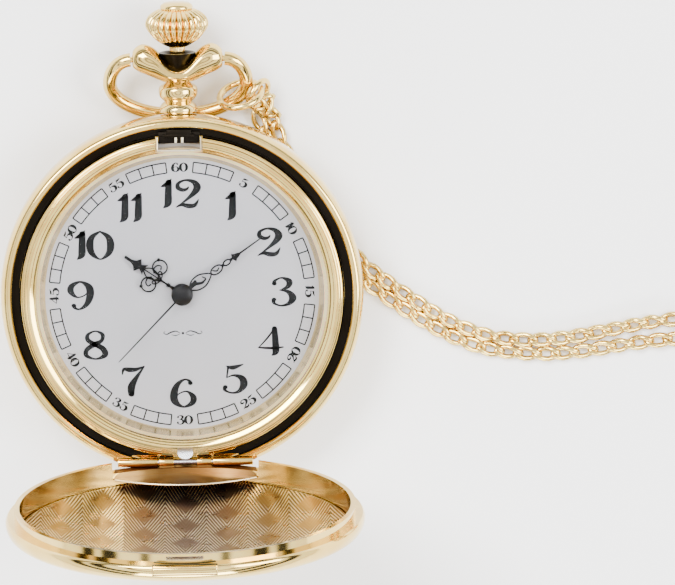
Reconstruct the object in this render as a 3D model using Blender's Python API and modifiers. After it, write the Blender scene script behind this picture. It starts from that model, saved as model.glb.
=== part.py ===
"""A gold-plated quartz hunter pocket watch on a necklace chain, with its lid standing open.

The watch lies on its back on the plane z = 0. The dial faces +Z, 12 o'clock points to +Y, the lid is
hinged at 6 o'clock, and the origin is the centre of the case back. Sizes in this file are in
millimetres and angles in degrees: the helpers below turn them into Blender's metres and radians.
"""

import math

import bmesh
import bpy
from mathutils import Matrix, Vector

MM = 0.001
MERGE = 1e-6  # metres, for every modifier and operator that welds vertices

# Case, measured from the centre of the watch
CASE_R = 23.6
BACK_FLAT_R, BACK_R, BACK_WALL = 11.0, 21.9, 0.8
BAND_Z0, BAND_Z1 = 4.3, 10.2
BORE_R, RECESS_R, RECESS_Z = 20.3, 22.2, 8.3
BEZEL_R, BEZEL_INNER_R = 21.1, 19.0
NOTCH_HALF = 3.05  # windows in the bezel at 12 and 6

# Lid and its hinge
LID_R, LID_Z0 = 23.2, 10.28
LID_OPEN = 97.5
HINGE_Y, HINGE_Z, KNUCKLE_R, PIN_R = -21.8, 9.6, 0.6, 0.3
HINGE_HALF = 8.8
CASE_KNUCKLE, LID_KNUCKLE = (3.6, 8.8), (1.5, 3.4)  # |x| ranges

# Pendant, crown and bow
PIVOT_Y, PENDANT_Z = 30.6, 6.0
SADDLE_HALF = 5.85
BOW_WIRE_R, BOW_HALF, BOW_REACH, BOW_SHOULDER = 0.9, 8.87, 8.8, 3.7
BOW_REST = -153.5  # turned back from straight out, resting over its ring
FLUTES = 28

# Dial, hands and crystal
DIAL_R, DIAL_Z0, DIAL_Z1 = 19.8, 7.1, 7.5
HOUR_ANGLE, MINUTE_ANGLE, SECOND_ANGLE = 304.6, 55.1, 224.2  # clockwise from 12
HOUR_HAND_Z, MINUTE_HAND_Z, SECOND_HAND_Z = 7.9, 8.4, 9.0
HAND_T = 0.14

# Movement
MOVEMENT_R = 12.0
PLATE_Z0, PLATE_Z1 = 4.9, 5.8
BRIDGE_Z0, BRIDGE_Z1 = 2.6, 3.2
TRAIN_TURN = -30.0  # direction of the row of arbors
THIRD_AT, INTERMEDIATE_AT, ROTOR_AT, MINUTE_WHEEL_AT = -4.32, 2.88, 5.68, 3.36
COIL_AT, COIL_HALF = 8.3, 4.4
BATTERY_R, BATTERY_AT = 3.4, (-5.6, -5.6)
LEVER_AT = (3.9, 9.3)

# Chain: a pair of strands, then a coil with the clasp inside it
CHAIN_R = 0.8
STRANDS_TOGETHER, STRANDS_APART, PARTING = 1.7, 2.7, (44.0, 66.0)  # gap between them, and where it grows
COIL_CENTRE, COIL_INNER_R, COIL_OUTER_R, COIL_H = (90.5, 11.0), 11.9, 20.1, 4.2
CHAIN_ROUTE = [
    (10.8, 22.8), (11.9, 20.3), (12.7, 17.6), (14.1, 15.1), (16.2, 12.6), (18.0, 9.8), (19.5, 6.8), (21.2, 4.0),
    (23.4, 1.5), (25.9, -0.4), (28.9, -2.6), (33.9, -5.8), (39.3, -8.1), (45.1, -8.9), (50.8, -8.7), (57.3, -7.7),
    (63.8, -6.9), (70.0, -7.1), (75.4, -7.8), (78.6, -8.1),
]

GOLD = ((0.86, 0.66, 0.30, 1.0), 1.0, 0.16)
BRASS = ((0.72, 0.55, 0.28, 1.0), 1.0, 0.35)
STEEL = ((0.62, 0.63, 0.65, 1.0), 1.0, 0.28)
ENAMEL = ((0.80, 0.80, 0.82, 1.0), 0.0, 0.35)
BLACK = ((0.01, 0.01, 0.012, 1.0), 0.3, 0.3)
GLASS = ((0.95, 0.97, 1.0, 1.0), 0.0, 0.03)
PLASTIC = ((0.75, 0.75, 0.72, 1.0), 0.0, 0.5)
COPPER = ((0.72, 0.33, 0.15, 1.0), 1.0, 0.35)
BOARD = ((0.05, 0.22, 0.10, 1.0), 0.0, 0.5)


# Scene helpers

for old in list(bpy.data.objects):
    bpy.data.objects.remove(old, do_unlink=True)

watch_parts = bpy.data.collections.new("pocket_watch")
cutters = bpy.data.collections.new("cutters")
bpy.context.scene.collection.children.link(watch_parts)
bpy.context.scene.collection.children.link(cutters)


def material(name, look):
    """The Principled material of this name, made the first time that it is asked for."""
    found = bpy.data.materials.get(name)
    if found:
        return found
    color, metallic, roughness = look
    made = bpy.data.materials.new(name)
    made.use_nodes = True
    shader = made.node_tree.nodes["Principled BSDF"]
    shader.inputs["Base Color"].default_value = color
    shader.inputs["Metallic"].default_value = metallic
    shader.inputs["Roughness"].default_value = roughness
    made.diffuse_color = color
    return made


def add(name, mesh, look=None, parent=None):
    """A new object: a part with its own material, or, without a look, a guide for Booleans."""
    obj = bpy.data.objects.new(name, mesh)
    if look:
        watch_parts.objects.link(obj)
        mesh.materials.append(material(name, look))
        mesh.shade_smooth()
        mesh.set_sharp_from_angle(angle=math.radians(35))
    else:
        cutters.objects.link(obj)
        obj.hide_render = True
        obj.display_type = "WIRE"
    obj.parent = parent
    return obj


def pivot(name, position, turn=0.0):
    """An empty on a joint's axis, turned about X."""
    empty = bpy.data.objects.new(name, None)
    watch_parts.objects.link(empty)
    empty.location = Vector(position) * MM
    empty.rotation_euler.x = math.radians(turn)
    empty.hide_render = True
    return empty


def to_mesh(name, bm):
    bmesh.ops.remove_doubles(bm, verts=bm.verts, dist=MERGE)
    bmesh.ops.recalc_face_normals(bm, faces=bm.faces)
    mesh = bpy.data.meshes.new(name)
    bm.to_mesh(mesh)
    bm.free()
    return mesh


def turned(name, profile, look=None, steps=48, axis="Z", at=(0, 0, 0), parent=None):
    """A profile of (radius, height) points, clockwise from the top, turned about an axis through at."""
    mesh = bpy.data.meshes.new(name)
    on_axis = profile[0][0] == 0
    count = len(profile)
    edges = [(i, (i + 1) % count) for i in range(count - on_axis)]
    mesh.from_pydata([(r * MM, 0, z * MM) for r, z in profile], edges, [])
    obj = add(name, mesh, look, parent)
    obj.location = Vector(at) * MM
    obj.rotation_euler.x = math.radians(-90) if axis == "Y" else 0.0
    screw = obj.modifiers.new("turn", "SCREW")
    screw.steps = screw.render_steps = steps
    screw.use_merge_vertices = True
    screw.merge_threshold = MERGE
    screw.use_smooth_shade = True
    return obj


def box(name, low, high, look=None, parent=None, turn=0.0):
    """A box between two corners, turned about Z through the origin."""
    low, high = Vector(low) * MM, Vector(high) * MM
    bm = bmesh.new()
    bmesh.ops.create_cube(bm, size=1.0)
    size = high - low
    bmesh.ops.scale(bm, vec=size, verts=bm.verts)
    bmesh.ops.translate(bm, vec=(low + high) / 2, verts=bm.verts)
    bmesh.ops.rotate(bm, cent=(0, 0, 0), matrix=Matrix.Rotation(math.radians(turn), 3, "Z"), verts=bm.verts)
    return add(name, to_mesh(name, bm), look, parent)


def rod(name, start, end, radius, look=None, parent=None, steps=16, end_radius=None):
    """A cylinder or a cone between two points."""
    start, end = Vector(start) * MM, Vector(end) * MM
    along = end - start
    bm = bmesh.new()
    bmesh.ops.create_cone(
        bm, cap_ends=True, segments=steps, depth=along.length, radius1=radius * MM,
        radius2=(radius if end_radius is None else end_radius) * MM,
    )
    turn = Vector((0, 0, 1)).rotation_difference(along).to_matrix().to_4x4()
    bmesh.ops.transform(bm, matrix=Matrix.Translation((start + end) / 2) @ turn, verts=bm.verts)
    return add(name, to_mesh(name, bm), look, parent)


def skin(name, rings, look=None, parent=None):
    """A closed loft through rings of equally many points."""
    bm = bmesh.new()
    loops = [[bm.verts.new(Vector(p) * MM) for p in ring] for ring in rings]
    count = len(loops[0])
    for one, other in zip(loops, loops[1:]):
        for i in range(count):
            j = (i + 1) % count
            bm.faces.new((one[i], one[j], other[j], other[i]))
    for loop in (loops[0], loops[-1]):
        bm.faces.new(loop)
    return add(name, to_mesh(name, bm), look, parent)


def plate(name, outlines, z0, z1, look=None, parent=None):
    """A flat piece between two heights: the first outline is its edge, and the others are holes."""
    curve = bpy.data.curves.new(name, "CURVE")
    curve.dimensions = "2D"
    curve.fill_mode = "BOTH"
    curve.extrude = (z1 - z0) / 2 * MM
    for outline in outlines:
        spline = curve.splines.new("POLY")
        spline.points.add(len(outline) - 1)
        for point, (x, y) in zip(spline.points, outline):
            point.co = (x * MM, y * MM, 0, 1)
        spline.use_cyclic_u = True
    guide = bpy.data.objects.new(name + "_outline", curve)
    bpy.context.scene.collection.objects.link(guide)
    guide.location.z = (z0 + z1) / 2 * MM
    bpy.context.view_layer.update()
    flat = bpy.data.meshes.new_from_object(guide.evaluated_get(bpy.context.evaluated_depsgraph_get()))
    bm = bmesh.new()
    bm.from_mesh(flat)
    bmesh.ops.transform(bm, matrix=guide.matrix_world, verts=bm.verts)
    bpy.data.objects.remove(guide)
    return add(name, to_mesh(name, bm), look, parent)


def tube(name, points, radius, look=None, parent=None):
    """A round wire through points in space."""
    curve = bpy.data.curves.new(name, "CURVE")
    curve.dimensions = "3D"
    curve.bevel_depth = radius * MM
    curve.bevel_resolution = 2
    curve.use_fill_caps = True
    spline = curve.splines.new("POLY")
    spline.points.add(len(points) - 1)
    for point, co in zip(spline.points, points):
        point.co = (*(Vector(co) * MM), 1)
    guide = bpy.data.objects.new(name + "_path", curve)
    bpy.context.scene.collection.objects.link(guide)
    bpy.context.view_layer.update()
    wire = bpy.data.meshes.new_from_object(guide.evaluated_get(bpy.context.evaluated_depsgraph_get()))
    bm = bmesh.new()
    bm.from_mesh(wire)
    bpy.data.objects.remove(guide)
    return add(name, to_mesh(name, bm), look, parent)


def ring(name, centre, normal, major, minor, look, sides=(20, 6)):
    """A closed wire ring."""
    bpy.ops.mesh.primitive_torus_add(
        major_segments=sides[0], minor_segments=sides[1], major_radius=major * MM, minor_radius=minor * MM
    )
    torus = bpy.context.object
    mesh = torus.data
    bpy.data.objects.remove(torus)
    turn = Vector((0, 0, 1)).rotation_difference(Vector(normal)).to_matrix().to_4x4()
    mesh.transform(Matrix.Translation(Vector(centre) * MM) @ turn)
    return add(name, mesh, look)


def boolean(obj, operation, *others):
    for other in others:
        modifier = obj.modifiers.new(other.name, "BOOLEAN")
        modifier.operation = operation
        modifier.object = other
    return obj


def cut(obj, *others):
    return boolean(obj, "DIFFERENCE", *others)


def join(obj, *others):
    return boolean(obj, "UNION", *others)


def circle(radius, centre=(0, 0), count=24):
    return [
        (centre[0] + radius * math.cos(a), centre[1] + radius * math.sin(a))
        for a in (2 * math.pi * i / count for i in range(count))
    ]


def rounded_box(half_x, half_y, corner, centre=(0, 0), steps=4):
    """The outline of a rectangle with round corners."""
    points = []
    for k, (sx, sy) in enumerate(((1, 1), (-1, 1), (-1, -1), (1, -1))):
        for i in range(steps + 1):
            a = math.radians(90 * (k + i / steps))
            x = sx * (half_x - corner) + corner * math.cos(a)
            y = sy * (half_y - corner) + corner * math.sin(a)
            points.append((centre[0] + x, centre[1] + y))
    return points


def turn_points(points, degrees):
    c, s = math.cos(math.radians(degrees)), math.sin(math.radians(degrees))
    return [(x * c - y * s, x * s + y * c) for x, y in points]


def along_train(along, off=0.0):
    """The place on the plate of a point given along and across the row of arbors."""
    return turn_points([(along, off)], TRAIN_TURN)[0]


# Case

def back_height(radius):
    """The outer surface of the domed back."""
    share = max(0.0, radius - BACK_FLAT_R) / (BACK_R - BACK_FLAT_R)
    return (BAND_Z0 - 0.1) * share ** 1.65


def make_case():
    radii = [BACK_FLAT_R, 14.5, 17.5, 20.0, BACK_R]
    inner = [(r - 0.5, back_height(r) + BACK_WALL) for r in radii[:-1]]
    outer = [(r, back_height(r)) for r in reversed(radii)]
    turned("case_back", [(0, BACK_WALL)] + inner + [(20.9, BAND_Z0 - 0.1)] + outer + [(0, 0)], GOLD)

    middle = turned("case_middle", [
        (RECESS_R, 10.0), (22.35, BAND_Z1), (22.9, 10.12), (23.35, 9.6), (23.56, 8.7), (CASE_R, 7.3),
        (23.5, 6.0), (23.1, 5.0), (22.4, BAND_Z0), (BORE_R, BAND_Z0), (BORE_R, RECESS_Z), (RECESS_R, RECESS_Z),
    ], GOLD)
    stem_hole = rod("stem_hole", (0, 18, PENDANT_Z), (0, 26, PENDANT_Z), 0.7)
    shelf = box("hinge_shelf_cut", (-9.3, -26, 8.7), (9.3, -21.1, 12))
    swing = box("hinge_swing_cut", (-9.3, -26, 7.4), (9.3, -22.25, 12))
    cut(middle, stem_hole, shelf, swing)
    for side in (-1, 1):
        x0, x1 = sorted(side * x for x in CASE_KNUCKLE)
        foot = box("case_knuckle_foot", (x0, -22.2, 8.4), (x1, -21.35, HINGE_Z))
        knuckle = rod("case_knuckle", (x0, HINGE_Y, HINGE_Z), (x1, HINGE_Y, HINGE_Z), KNUCKLE_R)
        join(middle, foot, knuckle)
    cut(middle, rod("hinge_bore", (-10, HINGE_Y, HINGE_Z), (10, HINGE_Y, HINGE_Z), PIN_R + 0.06))

    bezel = turned("bezel", [
        (BEZEL_INNER_R, 10.2), (19.5, 10.55), (20.2, 10.75), (20.75, 10.5), (BEZEL_R, 9.9),
        (BEZEL_R, RECESS_Z + 0.05), (19.5, RECESS_Z + 0.05), (19.5, 10.1), (BEZEL_INNER_R, 10.1),
    ], GOLD)
    for name, y0, y1 in (("catch_window", 18.9, 23), ("spring_window", -23, -19.75)):
        cut(bezel, box(name, (-NOTCH_HALF, y0, 7), (NOTCH_HALF, y1, 12)))
    rod("hinge_pin", (-HINGE_HALF, HINGE_Y, HINGE_Z), (HINGE_HALF, HINGE_Y, HINGE_Z), PIN_R, STEEL, steps=12)


def make_catch():
    """The sprung hook at 12 o'clock that holds the lid by its inner rim."""
    hook = box("catch_spring", (-2.7, 19.95, 8.45), (2.7, 21.45, 8.9), STEEL)
    wall = box("catch_wall", (-2.0, 20.8, 8.6), (2.0, 21.2, 9.72))
    nose = box("catch_nose", (-1.6, 21.0, 9.35), (1.6, 21.8, 9.7))
    join(hook, wall, nose)
    for x in (-0.42, 0.42):
        join(hook, box("catch_rib", (x - 0.2, 20.05, 8.7), (x + 0.2, 21.0, 9.5)))


def make_lift_spring():
    """The tongue at 6 o'clock that pushes the lid open."""
    rise = pivot("lift_spring_axis", (0, -19.9, 8.55), -18)
    tongue = [(1.0, 0.0), (-1.0, 0.0), (-1.0, -1.0)]
    tongue += [(math.cos(a), -1.0 + 0.75 * math.sin(a)) for a in (math.pi * (1 + i / 8) for i in range(1, 8))]
    tongue += [(1.0, -1.0)]
    plate("lift_spring", [tongue], 0.0, 0.18, STEEL, parent=rise)


# Lid, drawn shut and turned open by its pivot

def make_lid():
    axis = pivot("lid_axis", (0, HINGE_Y, HINGE_Z), LID_OPEN)
    shut = (0, -HINGE_Y, -HINGE_Z)
    shell = turned("lid_shell", [
        (0, 15.1), (6.5, 14.93), (12.5, 14.42), (17.5, 13.65), (20.8, 12.98), (22.2, 12.5), (22.9, 11.95),
        (LID_R, 11.2), (23.15, 10.5), (22.95, LID_Z0), (22.05, LID_Z0), (22.05, 9.0), (21.4, 9.0),
        (21.4, 12.35), (17.5, 13.1), (12.5, 13.8), (6.5, 14.35), (0, 14.5),
    ], GOLD, at=shut, parent=axis)
    turned("lid_lining", [
        (0, 14.4), (6.5, 14.25), (12.5, 13.7), (17.5, 13.0), (21.1, 12.25), (21.25, 12.05), (20.9, 11.95),
        (17.5, 12.7), (12.5, 13.42), (6.5, 13.97), (0, 14.12),
    ], GOLD, at=shut, parent=axis)

    def near(low, high):
        """A box given in the shut lid's own place, moved to the pivot."""
        return [tuple(a + b for a, b in zip(corner, shut)) for corner in (low, high)]

    flange_gap = box("lid_flange_gap", *near((-9.5, -23, 8), (9.5, -15, LID_Z0 + 0.02)), parent=axis)
    keeper = box("lid_keeper_slot", *near((-2.4, 20, 9.28), (2.4, 22.3, 9.8)), parent=axis)
    cut(shell, flange_gap, keeper)
    lip = rod("lid_lip", (0, 0, 0), (0, 0, 0.55), 1.0, parent=axis, steps=32)
    lip.scale = (4.4, 1.0, 1.0)
    lip.location = (Vector(shut) + Vector((0, 22.95, 10.4))) * MM
    join(shell, lip)
    for side in (-1, 1):
        x0, x1 = sorted(side * x for x in LID_KNUCKLE)
        link = box("lid_link", (x0, -0.5, 0.0), (x1, 0.45, 1.2), parent=axis)
        knuckle = rod("lid_knuckle", (x0, 0, 0), (x1, 0, 0), KNUCKLE_R, parent=axis)
        join(shell, link, knuckle)
    cut(shell, rod("lid_bore", (-10, 0, 0), (10, 0, 0), PIN_R + 0.06, parent=axis))


# Pendant, bow and crown

def saddle_section(x, top, bottom, depth, count=16):
    """One upright slice of the boat-shaped head of the pendant."""
    middle, half = (top + bottom) / 2, (top - bottom) / 2
    return [
        (x, PIVOT_Y + middle + half * math.cos(a), PENDANT_Z + depth * math.sin(a))
        for a in (2 * math.pi * i / count for i in range(count))
    ]


def make_pendant():
    half = [
        (SADDLE_HALF, 0.8, -0.85, 0.8), (5.75, 1.2, -1.1, 1.1), (5.35, 1.65, -1.4, 1.4), (4.8, 1.95, -1.7, 1.6),
        (4.2, 2.0, -1.95, 1.75), (3.2, 1.6, -2.4, 1.9), (2.2, 0.7, -2.85, 2.1), (1.1, -0.5, -3.1, 2.25),
    ]
    sections = [(-x, *rest) for x, *rest in half] + [(0, -0.9, -3.15, 2.3)] + half[::-1]
    pendant = skin("pendant", [saddle_section(*s) for s in sections], GOLD)
    beads = turned("pendant_beads", [
        (0, -1.6), (1.3, -1.6), (1.35, -3.0), (2.1, -3.3), (2.5, -3.9), (2.5, -4.6), (2.1, -5.2), (1.75, -5.5),
        (2.1, -5.8), (2.45, -6.35), (2.4, -6.85), (0, -6.85),
    ], steps=24, axis="Y", at=(0, PIVOT_Y, PENDANT_Z))
    collar = rod("crown_collar", (0, PIVOT_Y - 1.3, PENDANT_Z), (0, PIVOT_Y + 0.85, PENDANT_Z), 1.1,
                 end_radius=2.35, steps=24)
    neck_bore = rod("neck_bore", (0, PIVOT_Y - 0.5, PENDANT_Z), (0, PIVOT_Y + 2, PENDANT_Z), 1.15, steps=24)
    stem_bore = rod("pendant_bore", (0, 22, PENDANT_Z), (0, PIVOT_Y + 2, PENDANT_Z), 0.75)
    join(pendant, beads, collar)
    cut(pendant, neck_bore, stem_bore)
    for side in (-1, 1):
        hole = rod("bow_hole", (side * 4.5, PIVOT_Y, PENDANT_Z), (side * 7, PIVOT_Y, PENDANT_Z), 0.5, steps=12)
        cut(pendant, hole)


def bow_path(steps=9):
    """The bow's centre line, straight out from its pivots: shoulders that open into a wide half oval."""
    narrow = SADDLE_HALF + 0.25
    side = []
    for i in range(5):
        a = math.radians(90 * i / 5)
        x = narrow + (BOW_HALF - narrow) * math.sin(a)
        side.append((x, BOW_SHOULDER - (BOW_SHOULDER - 0.05) * math.cos(a), 0))
    for i in range(steps):
        a = math.radians(90 * i / steps)
        side.append((BOW_HALF * math.cos(a), BOW_SHOULDER + (BOW_REACH - BOW_SHOULDER) * math.sin(a), 0))
    return side + [(0, BOW_REACH, 0)] + [(-x, y, z) for x, y, z in reversed(side)]


def make_bow():
    axis = pivot("bow_axis", (0, PIVOT_Y, PENDANT_Z), BOW_REST)
    bow = tube("bow", bow_path(), BOW_WIRE_R, GOLD, parent=axis)
    for side in (-1, 1):
        join(bow, rod("bow_pin", (side * 4.8, 0, 0), (side * 6.6, 0, 0), 0.4, parent=axis, steps=12))


def make_crown():
    """A fluted onion crown on a stem that runs into the movement."""
    profile = [
        (1.0, 0.25), (1.05, 1.6), (1.75, 1.9), (2.7, 2.5), (3.45, 3.3), (4.05, 4.1), (4.15, 4.7),
        (3.75, 5.6), (2.9, 6.3), (2.4, 6.5),
    ]
    button = [(2.15, 6.6), (2.1, 6.95), (1.75, 7.3), (0.7, 7.55)]
    rings = []
    for radius, height in profile + button:
        fluted = 1.2 < radius and height < 6.55
        ring_points = []
        for i in range(2 * FLUTES):
            a = math.pi * i / FLUTES
            r = radius * (0.93 if fluted and i % 2 else 1.0)
            ring_points.append((r * math.cos(a), PIVOT_Y + height, PENDANT_Z + r * math.sin(a)))
        rings.append(ring_points)
    crown = skin("crown", rings, GOLD)
    cut(crown, rod("crown_bore", (0, PIVOT_Y - 1, PENDANT_Z), (0, PIVOT_Y + 4.6, PENDANT_Z), 0.5, steps=12))
    rod("stem", (0, 8.2, PENDANT_Z), (0, PIVOT_Y + 4.5, PENDANT_Z), 0.42, STEEL, steps=12)
    turned("clutch_pinion", [
        (0.5, 1.0), (0.9, 1.0), (0.9, 0.35), (0.65, 0.25), (0.65, -0.25), (0.9, -0.35), (0.9, -1.0), (0.5, -1.0),
    ], STEEL, steps=16, axis="Y", at=(0, 9.8, PENDANT_Z))


# Dial, crystal and hands

def make_dial():
    plate("dial", [circle(DIAL_R, count=48), circle(1.3, count=16)], DIAL_Z0, DIAL_Z1, ENAMEL)
    turned("dial_ring", [(18.4, 9.0), (18.5, 9.38), (19.4, 9.38), (19.4, DIAL_Z1 + 0.05), (17.8, DIAL_Z1 + 0.05)],
           GOLD)
    turned("crystal", [
        (0, 10.45), (9.5, 10.36), (15.0, 10.2), (18.7, 10.03), (19.4, 10.0), (19.4, 9.45), (18.7, 9.45),
        (9.5, 9.72), (0, 9.8),
    ], GLASS)


def hand_outline(half):
    """A closed outline from the points of one side, which run from the tail to the tip."""
    return [(x, y) for x, y in half] + [(-x, y) for x, y in reversed(half) if x > 0]


def make_hands():
    hub = [(1.35 * math.cos(math.radians(a)), 1.35 * math.sin(math.radians(a))) for a in (-90, -60, -30, 0, 30)]
    hour_side = hub + [
        (0.9, 1.1), (0.28, 1.6), (0.28, 2.9), (0.6, 3.4), (1.6, 3.4), (2.4, 4.2), (2.2, 5.2), (1.2, 5.4),
        (0.5, 5.7), (0.8, 5.8), (0.35, 6.4), (0.95, 6.95), (0.3, 7.6), (0.2, 8.85),
    ]
    hour = hand_outline(hour_side + [(0, 8.95)])
    hour_holes = [circle(0.7, (x, 4.4), 10) for x in (-1.3, 1.3)] + [circle(0.25, (0, 4.4), 8)]
    minute_side = hub + [
        (0.9, 1.1), (0.3, 1.5), (0.95, 2.4), (0.9, 3.6), (0.2, 4.6), (0.6, 5.2), (0.6, 5.9), (0.2, 6.5),
        (0.4, 7.0), (0.4, 7.5), (0.2, 7.9), (0.62, 8.3), (0.3, 8.9), (0.1, 9.4),
    ]
    minute = hand_outline(minute_side + [(0, 12.6)])
    minute_holes = [circle(r, (0, y), 10) for r, y in ((0.5, 3.0), (0.32, 5.55), (0.18, 7.25))]
    for name, outline, holes, bore, z, angle in (
        ("hour_hand", hour, hour_holes, 1.15, HOUR_HAND_Z, HOUR_ANGLE),
        ("minute_hand", minute, minute_holes, 0.75, MINUTE_HAND_Z, MINUTE_ANGLE),
    ):
        outlines = [turn_points(o, -angle) for o in [outline, circle(bore, count=14)] + holes]
        plate(name, outlines, z, z + HAND_T, BLACK)

    needle_side = [(0.22, -2.6), (0.2, -1.0), (0.17, 1.0), (0.08, 11.4)]
    needle = plate("second_hand", [turn_points(hand_outline([(0, -2.7)] + needle_side + [(0, 12.0)]),
                                               -SECOND_ANGLE)], SECOND_HAND_Z, SECOND_HAND_Z + 0.1, BLACK)
    cap = turned("centre_cap", [(0, 9.42), (0.7, 9.36), (1.2, 9.2), (1.4, 8.97), (1.2, 8.9), (0, 8.9)], steps=24)
    join(needle, cap)
    cut(needle, rod("second_bore", (0, 0, 8), (0, 0, 9.2), 0.26, steps=12))


# Movement

def gear_outline(teeth, module, phase=0.0):
    """A gear's outline with pointed teeth; phase turns it by a share of one tooth."""
    pitch_r = teeth * module / 2
    points = []
    for tooth in range(teeth):
        for share, radius in ((-0.12, pitch_r + 0.85 * module), (0.12, pitch_r + 0.85 * module),
                              (0.5, pitch_r - 1.1 * module)):
            a = 2 * math.pi * (tooth + phase + share) / teeth
            points.append((radius * math.cos(a), radius * math.sin(a)))
    return points


def gear(name, centre, wheel, pinion, shaft, look=BRASS):
    """A wheel and its pinion on one shaft. Each of them is (teeth, module, z0, z1, phase) or None,
    and the shaft is (radius, z0, z1, bore)."""
    def level(part_name, spec, part_look=None):
        teeth, module, z0, z1, phase = spec
        return plate(part_name, [gear_outline(teeth, module, phase)], z0, z1, part_look)

    body = level(name, wheel, look)
    guides = [body]
    if pinion:
        guides.append(level(name + "_pinion", pinion))
    radius, z0, z1, bore = shaft
    guides.append(rod(name + "_shaft", (0, 0, z0), (0, 0, z1), radius, steps=12))
    hole = rod(name + "_bore", (0, 0, 0), (0, 0, 12), bore, steps=12) if bore else None
    for guide in guides + [hole] * bool(hole):
        guide.location = (centre[0] * MM, centre[1] * MM, 0)
    join(body, *guides[1:])
    if hole:
        cut(body, hole)
    return body


def mesh_phase(teeth, toward):
    """The phase that points a gap between teeth, not a tooth, in a direction given in degrees."""
    return (toward / 360 * teeth) % 1 + 0.5


def tooth_phase(teeth, toward):
    """The phase that points a tooth in a direction given in degrees."""
    return (toward / 360 * teeth) % 1


def make_train():
    """The going train from the rotor to the hands: 30:1 to the second hand, 60:1 and 12:1 after it."""
    out, back, down = TRAIN_TURN, TRAIN_TURN + 180, -90.0
    m_third = 2 * abs(THIRD_AT)
    rotor_at = along_train(ROTOR_AT)
    rotor = gear("rotor", rotor_at, (8, 0.1, 3.25, 3.55, mesh_phase(8, back)), None, (0.2, 3.22, 4.7, 0), STEEL)
    magnet = rod("rotor_magnet", (0, 0, 3.6), (0, 0, 4.2), 0.75, steps=16)
    magnet.location = rotor.location
    join(rotor, magnet)
    gear("intermediate_wheel", along_train(INTERMEDIATE_AT), (48, 0.1, 3.3, 3.5, tooth_phase(48, out)),
         (8, 0.12, 3.45, 3.85, mesh_phase(8, back)), (0.2, 3.22, 3.92, 0))
    gear("seconds_wheel", (0, 0), (40, 0.12, 3.6, 3.83, tooth_phase(40, out)),
         (8, m_third / 68, 3.8, 4.2, mesh_phase(8, back)), (0.2, 3.22, 9.15, 0))
    gear("third_wheel", along_train(THIRD_AT), (60, m_third / 68, 3.95, 4.18, tooth_phase(60, out)),
         (8, m_third / 72, 4.15, 4.62, mesh_phase(8, out)), (0.2, 3.22, 4.88, 0))
    gear("centre_wheel", (0, 0), (64, m_third / 72, 4.35, 4.58, tooth_phase(64, back)),
         None, (0.5, 4.3, 7.2, 0.3))
    gear("cannon_pinion", (0, 0), (12, 0.14, 5.95, 6.25, mesh_phase(12, down)), None, (0.7, 5.85, 8.85, 0.55),
         STEEL)
    gear("minute_wheel", (0, -MINUTE_WHEEL_AT), (36, 0.14, 5.98, 6.2, tooth_phase(36, -down)),
         (10, MINUTE_WHEEL_AT / 25, 6.15, 6.72, mesh_phase(10, -down)), (0.4, 5.85, 6.95, 0))
    gear("hour_wheel", (0, 0), (40, MINUTE_WHEEL_AT / 25, 6.42, 6.68, tooth_phase(40, down)), None,
         (1.1, 6.35, 8.2, 0.85))


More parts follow.
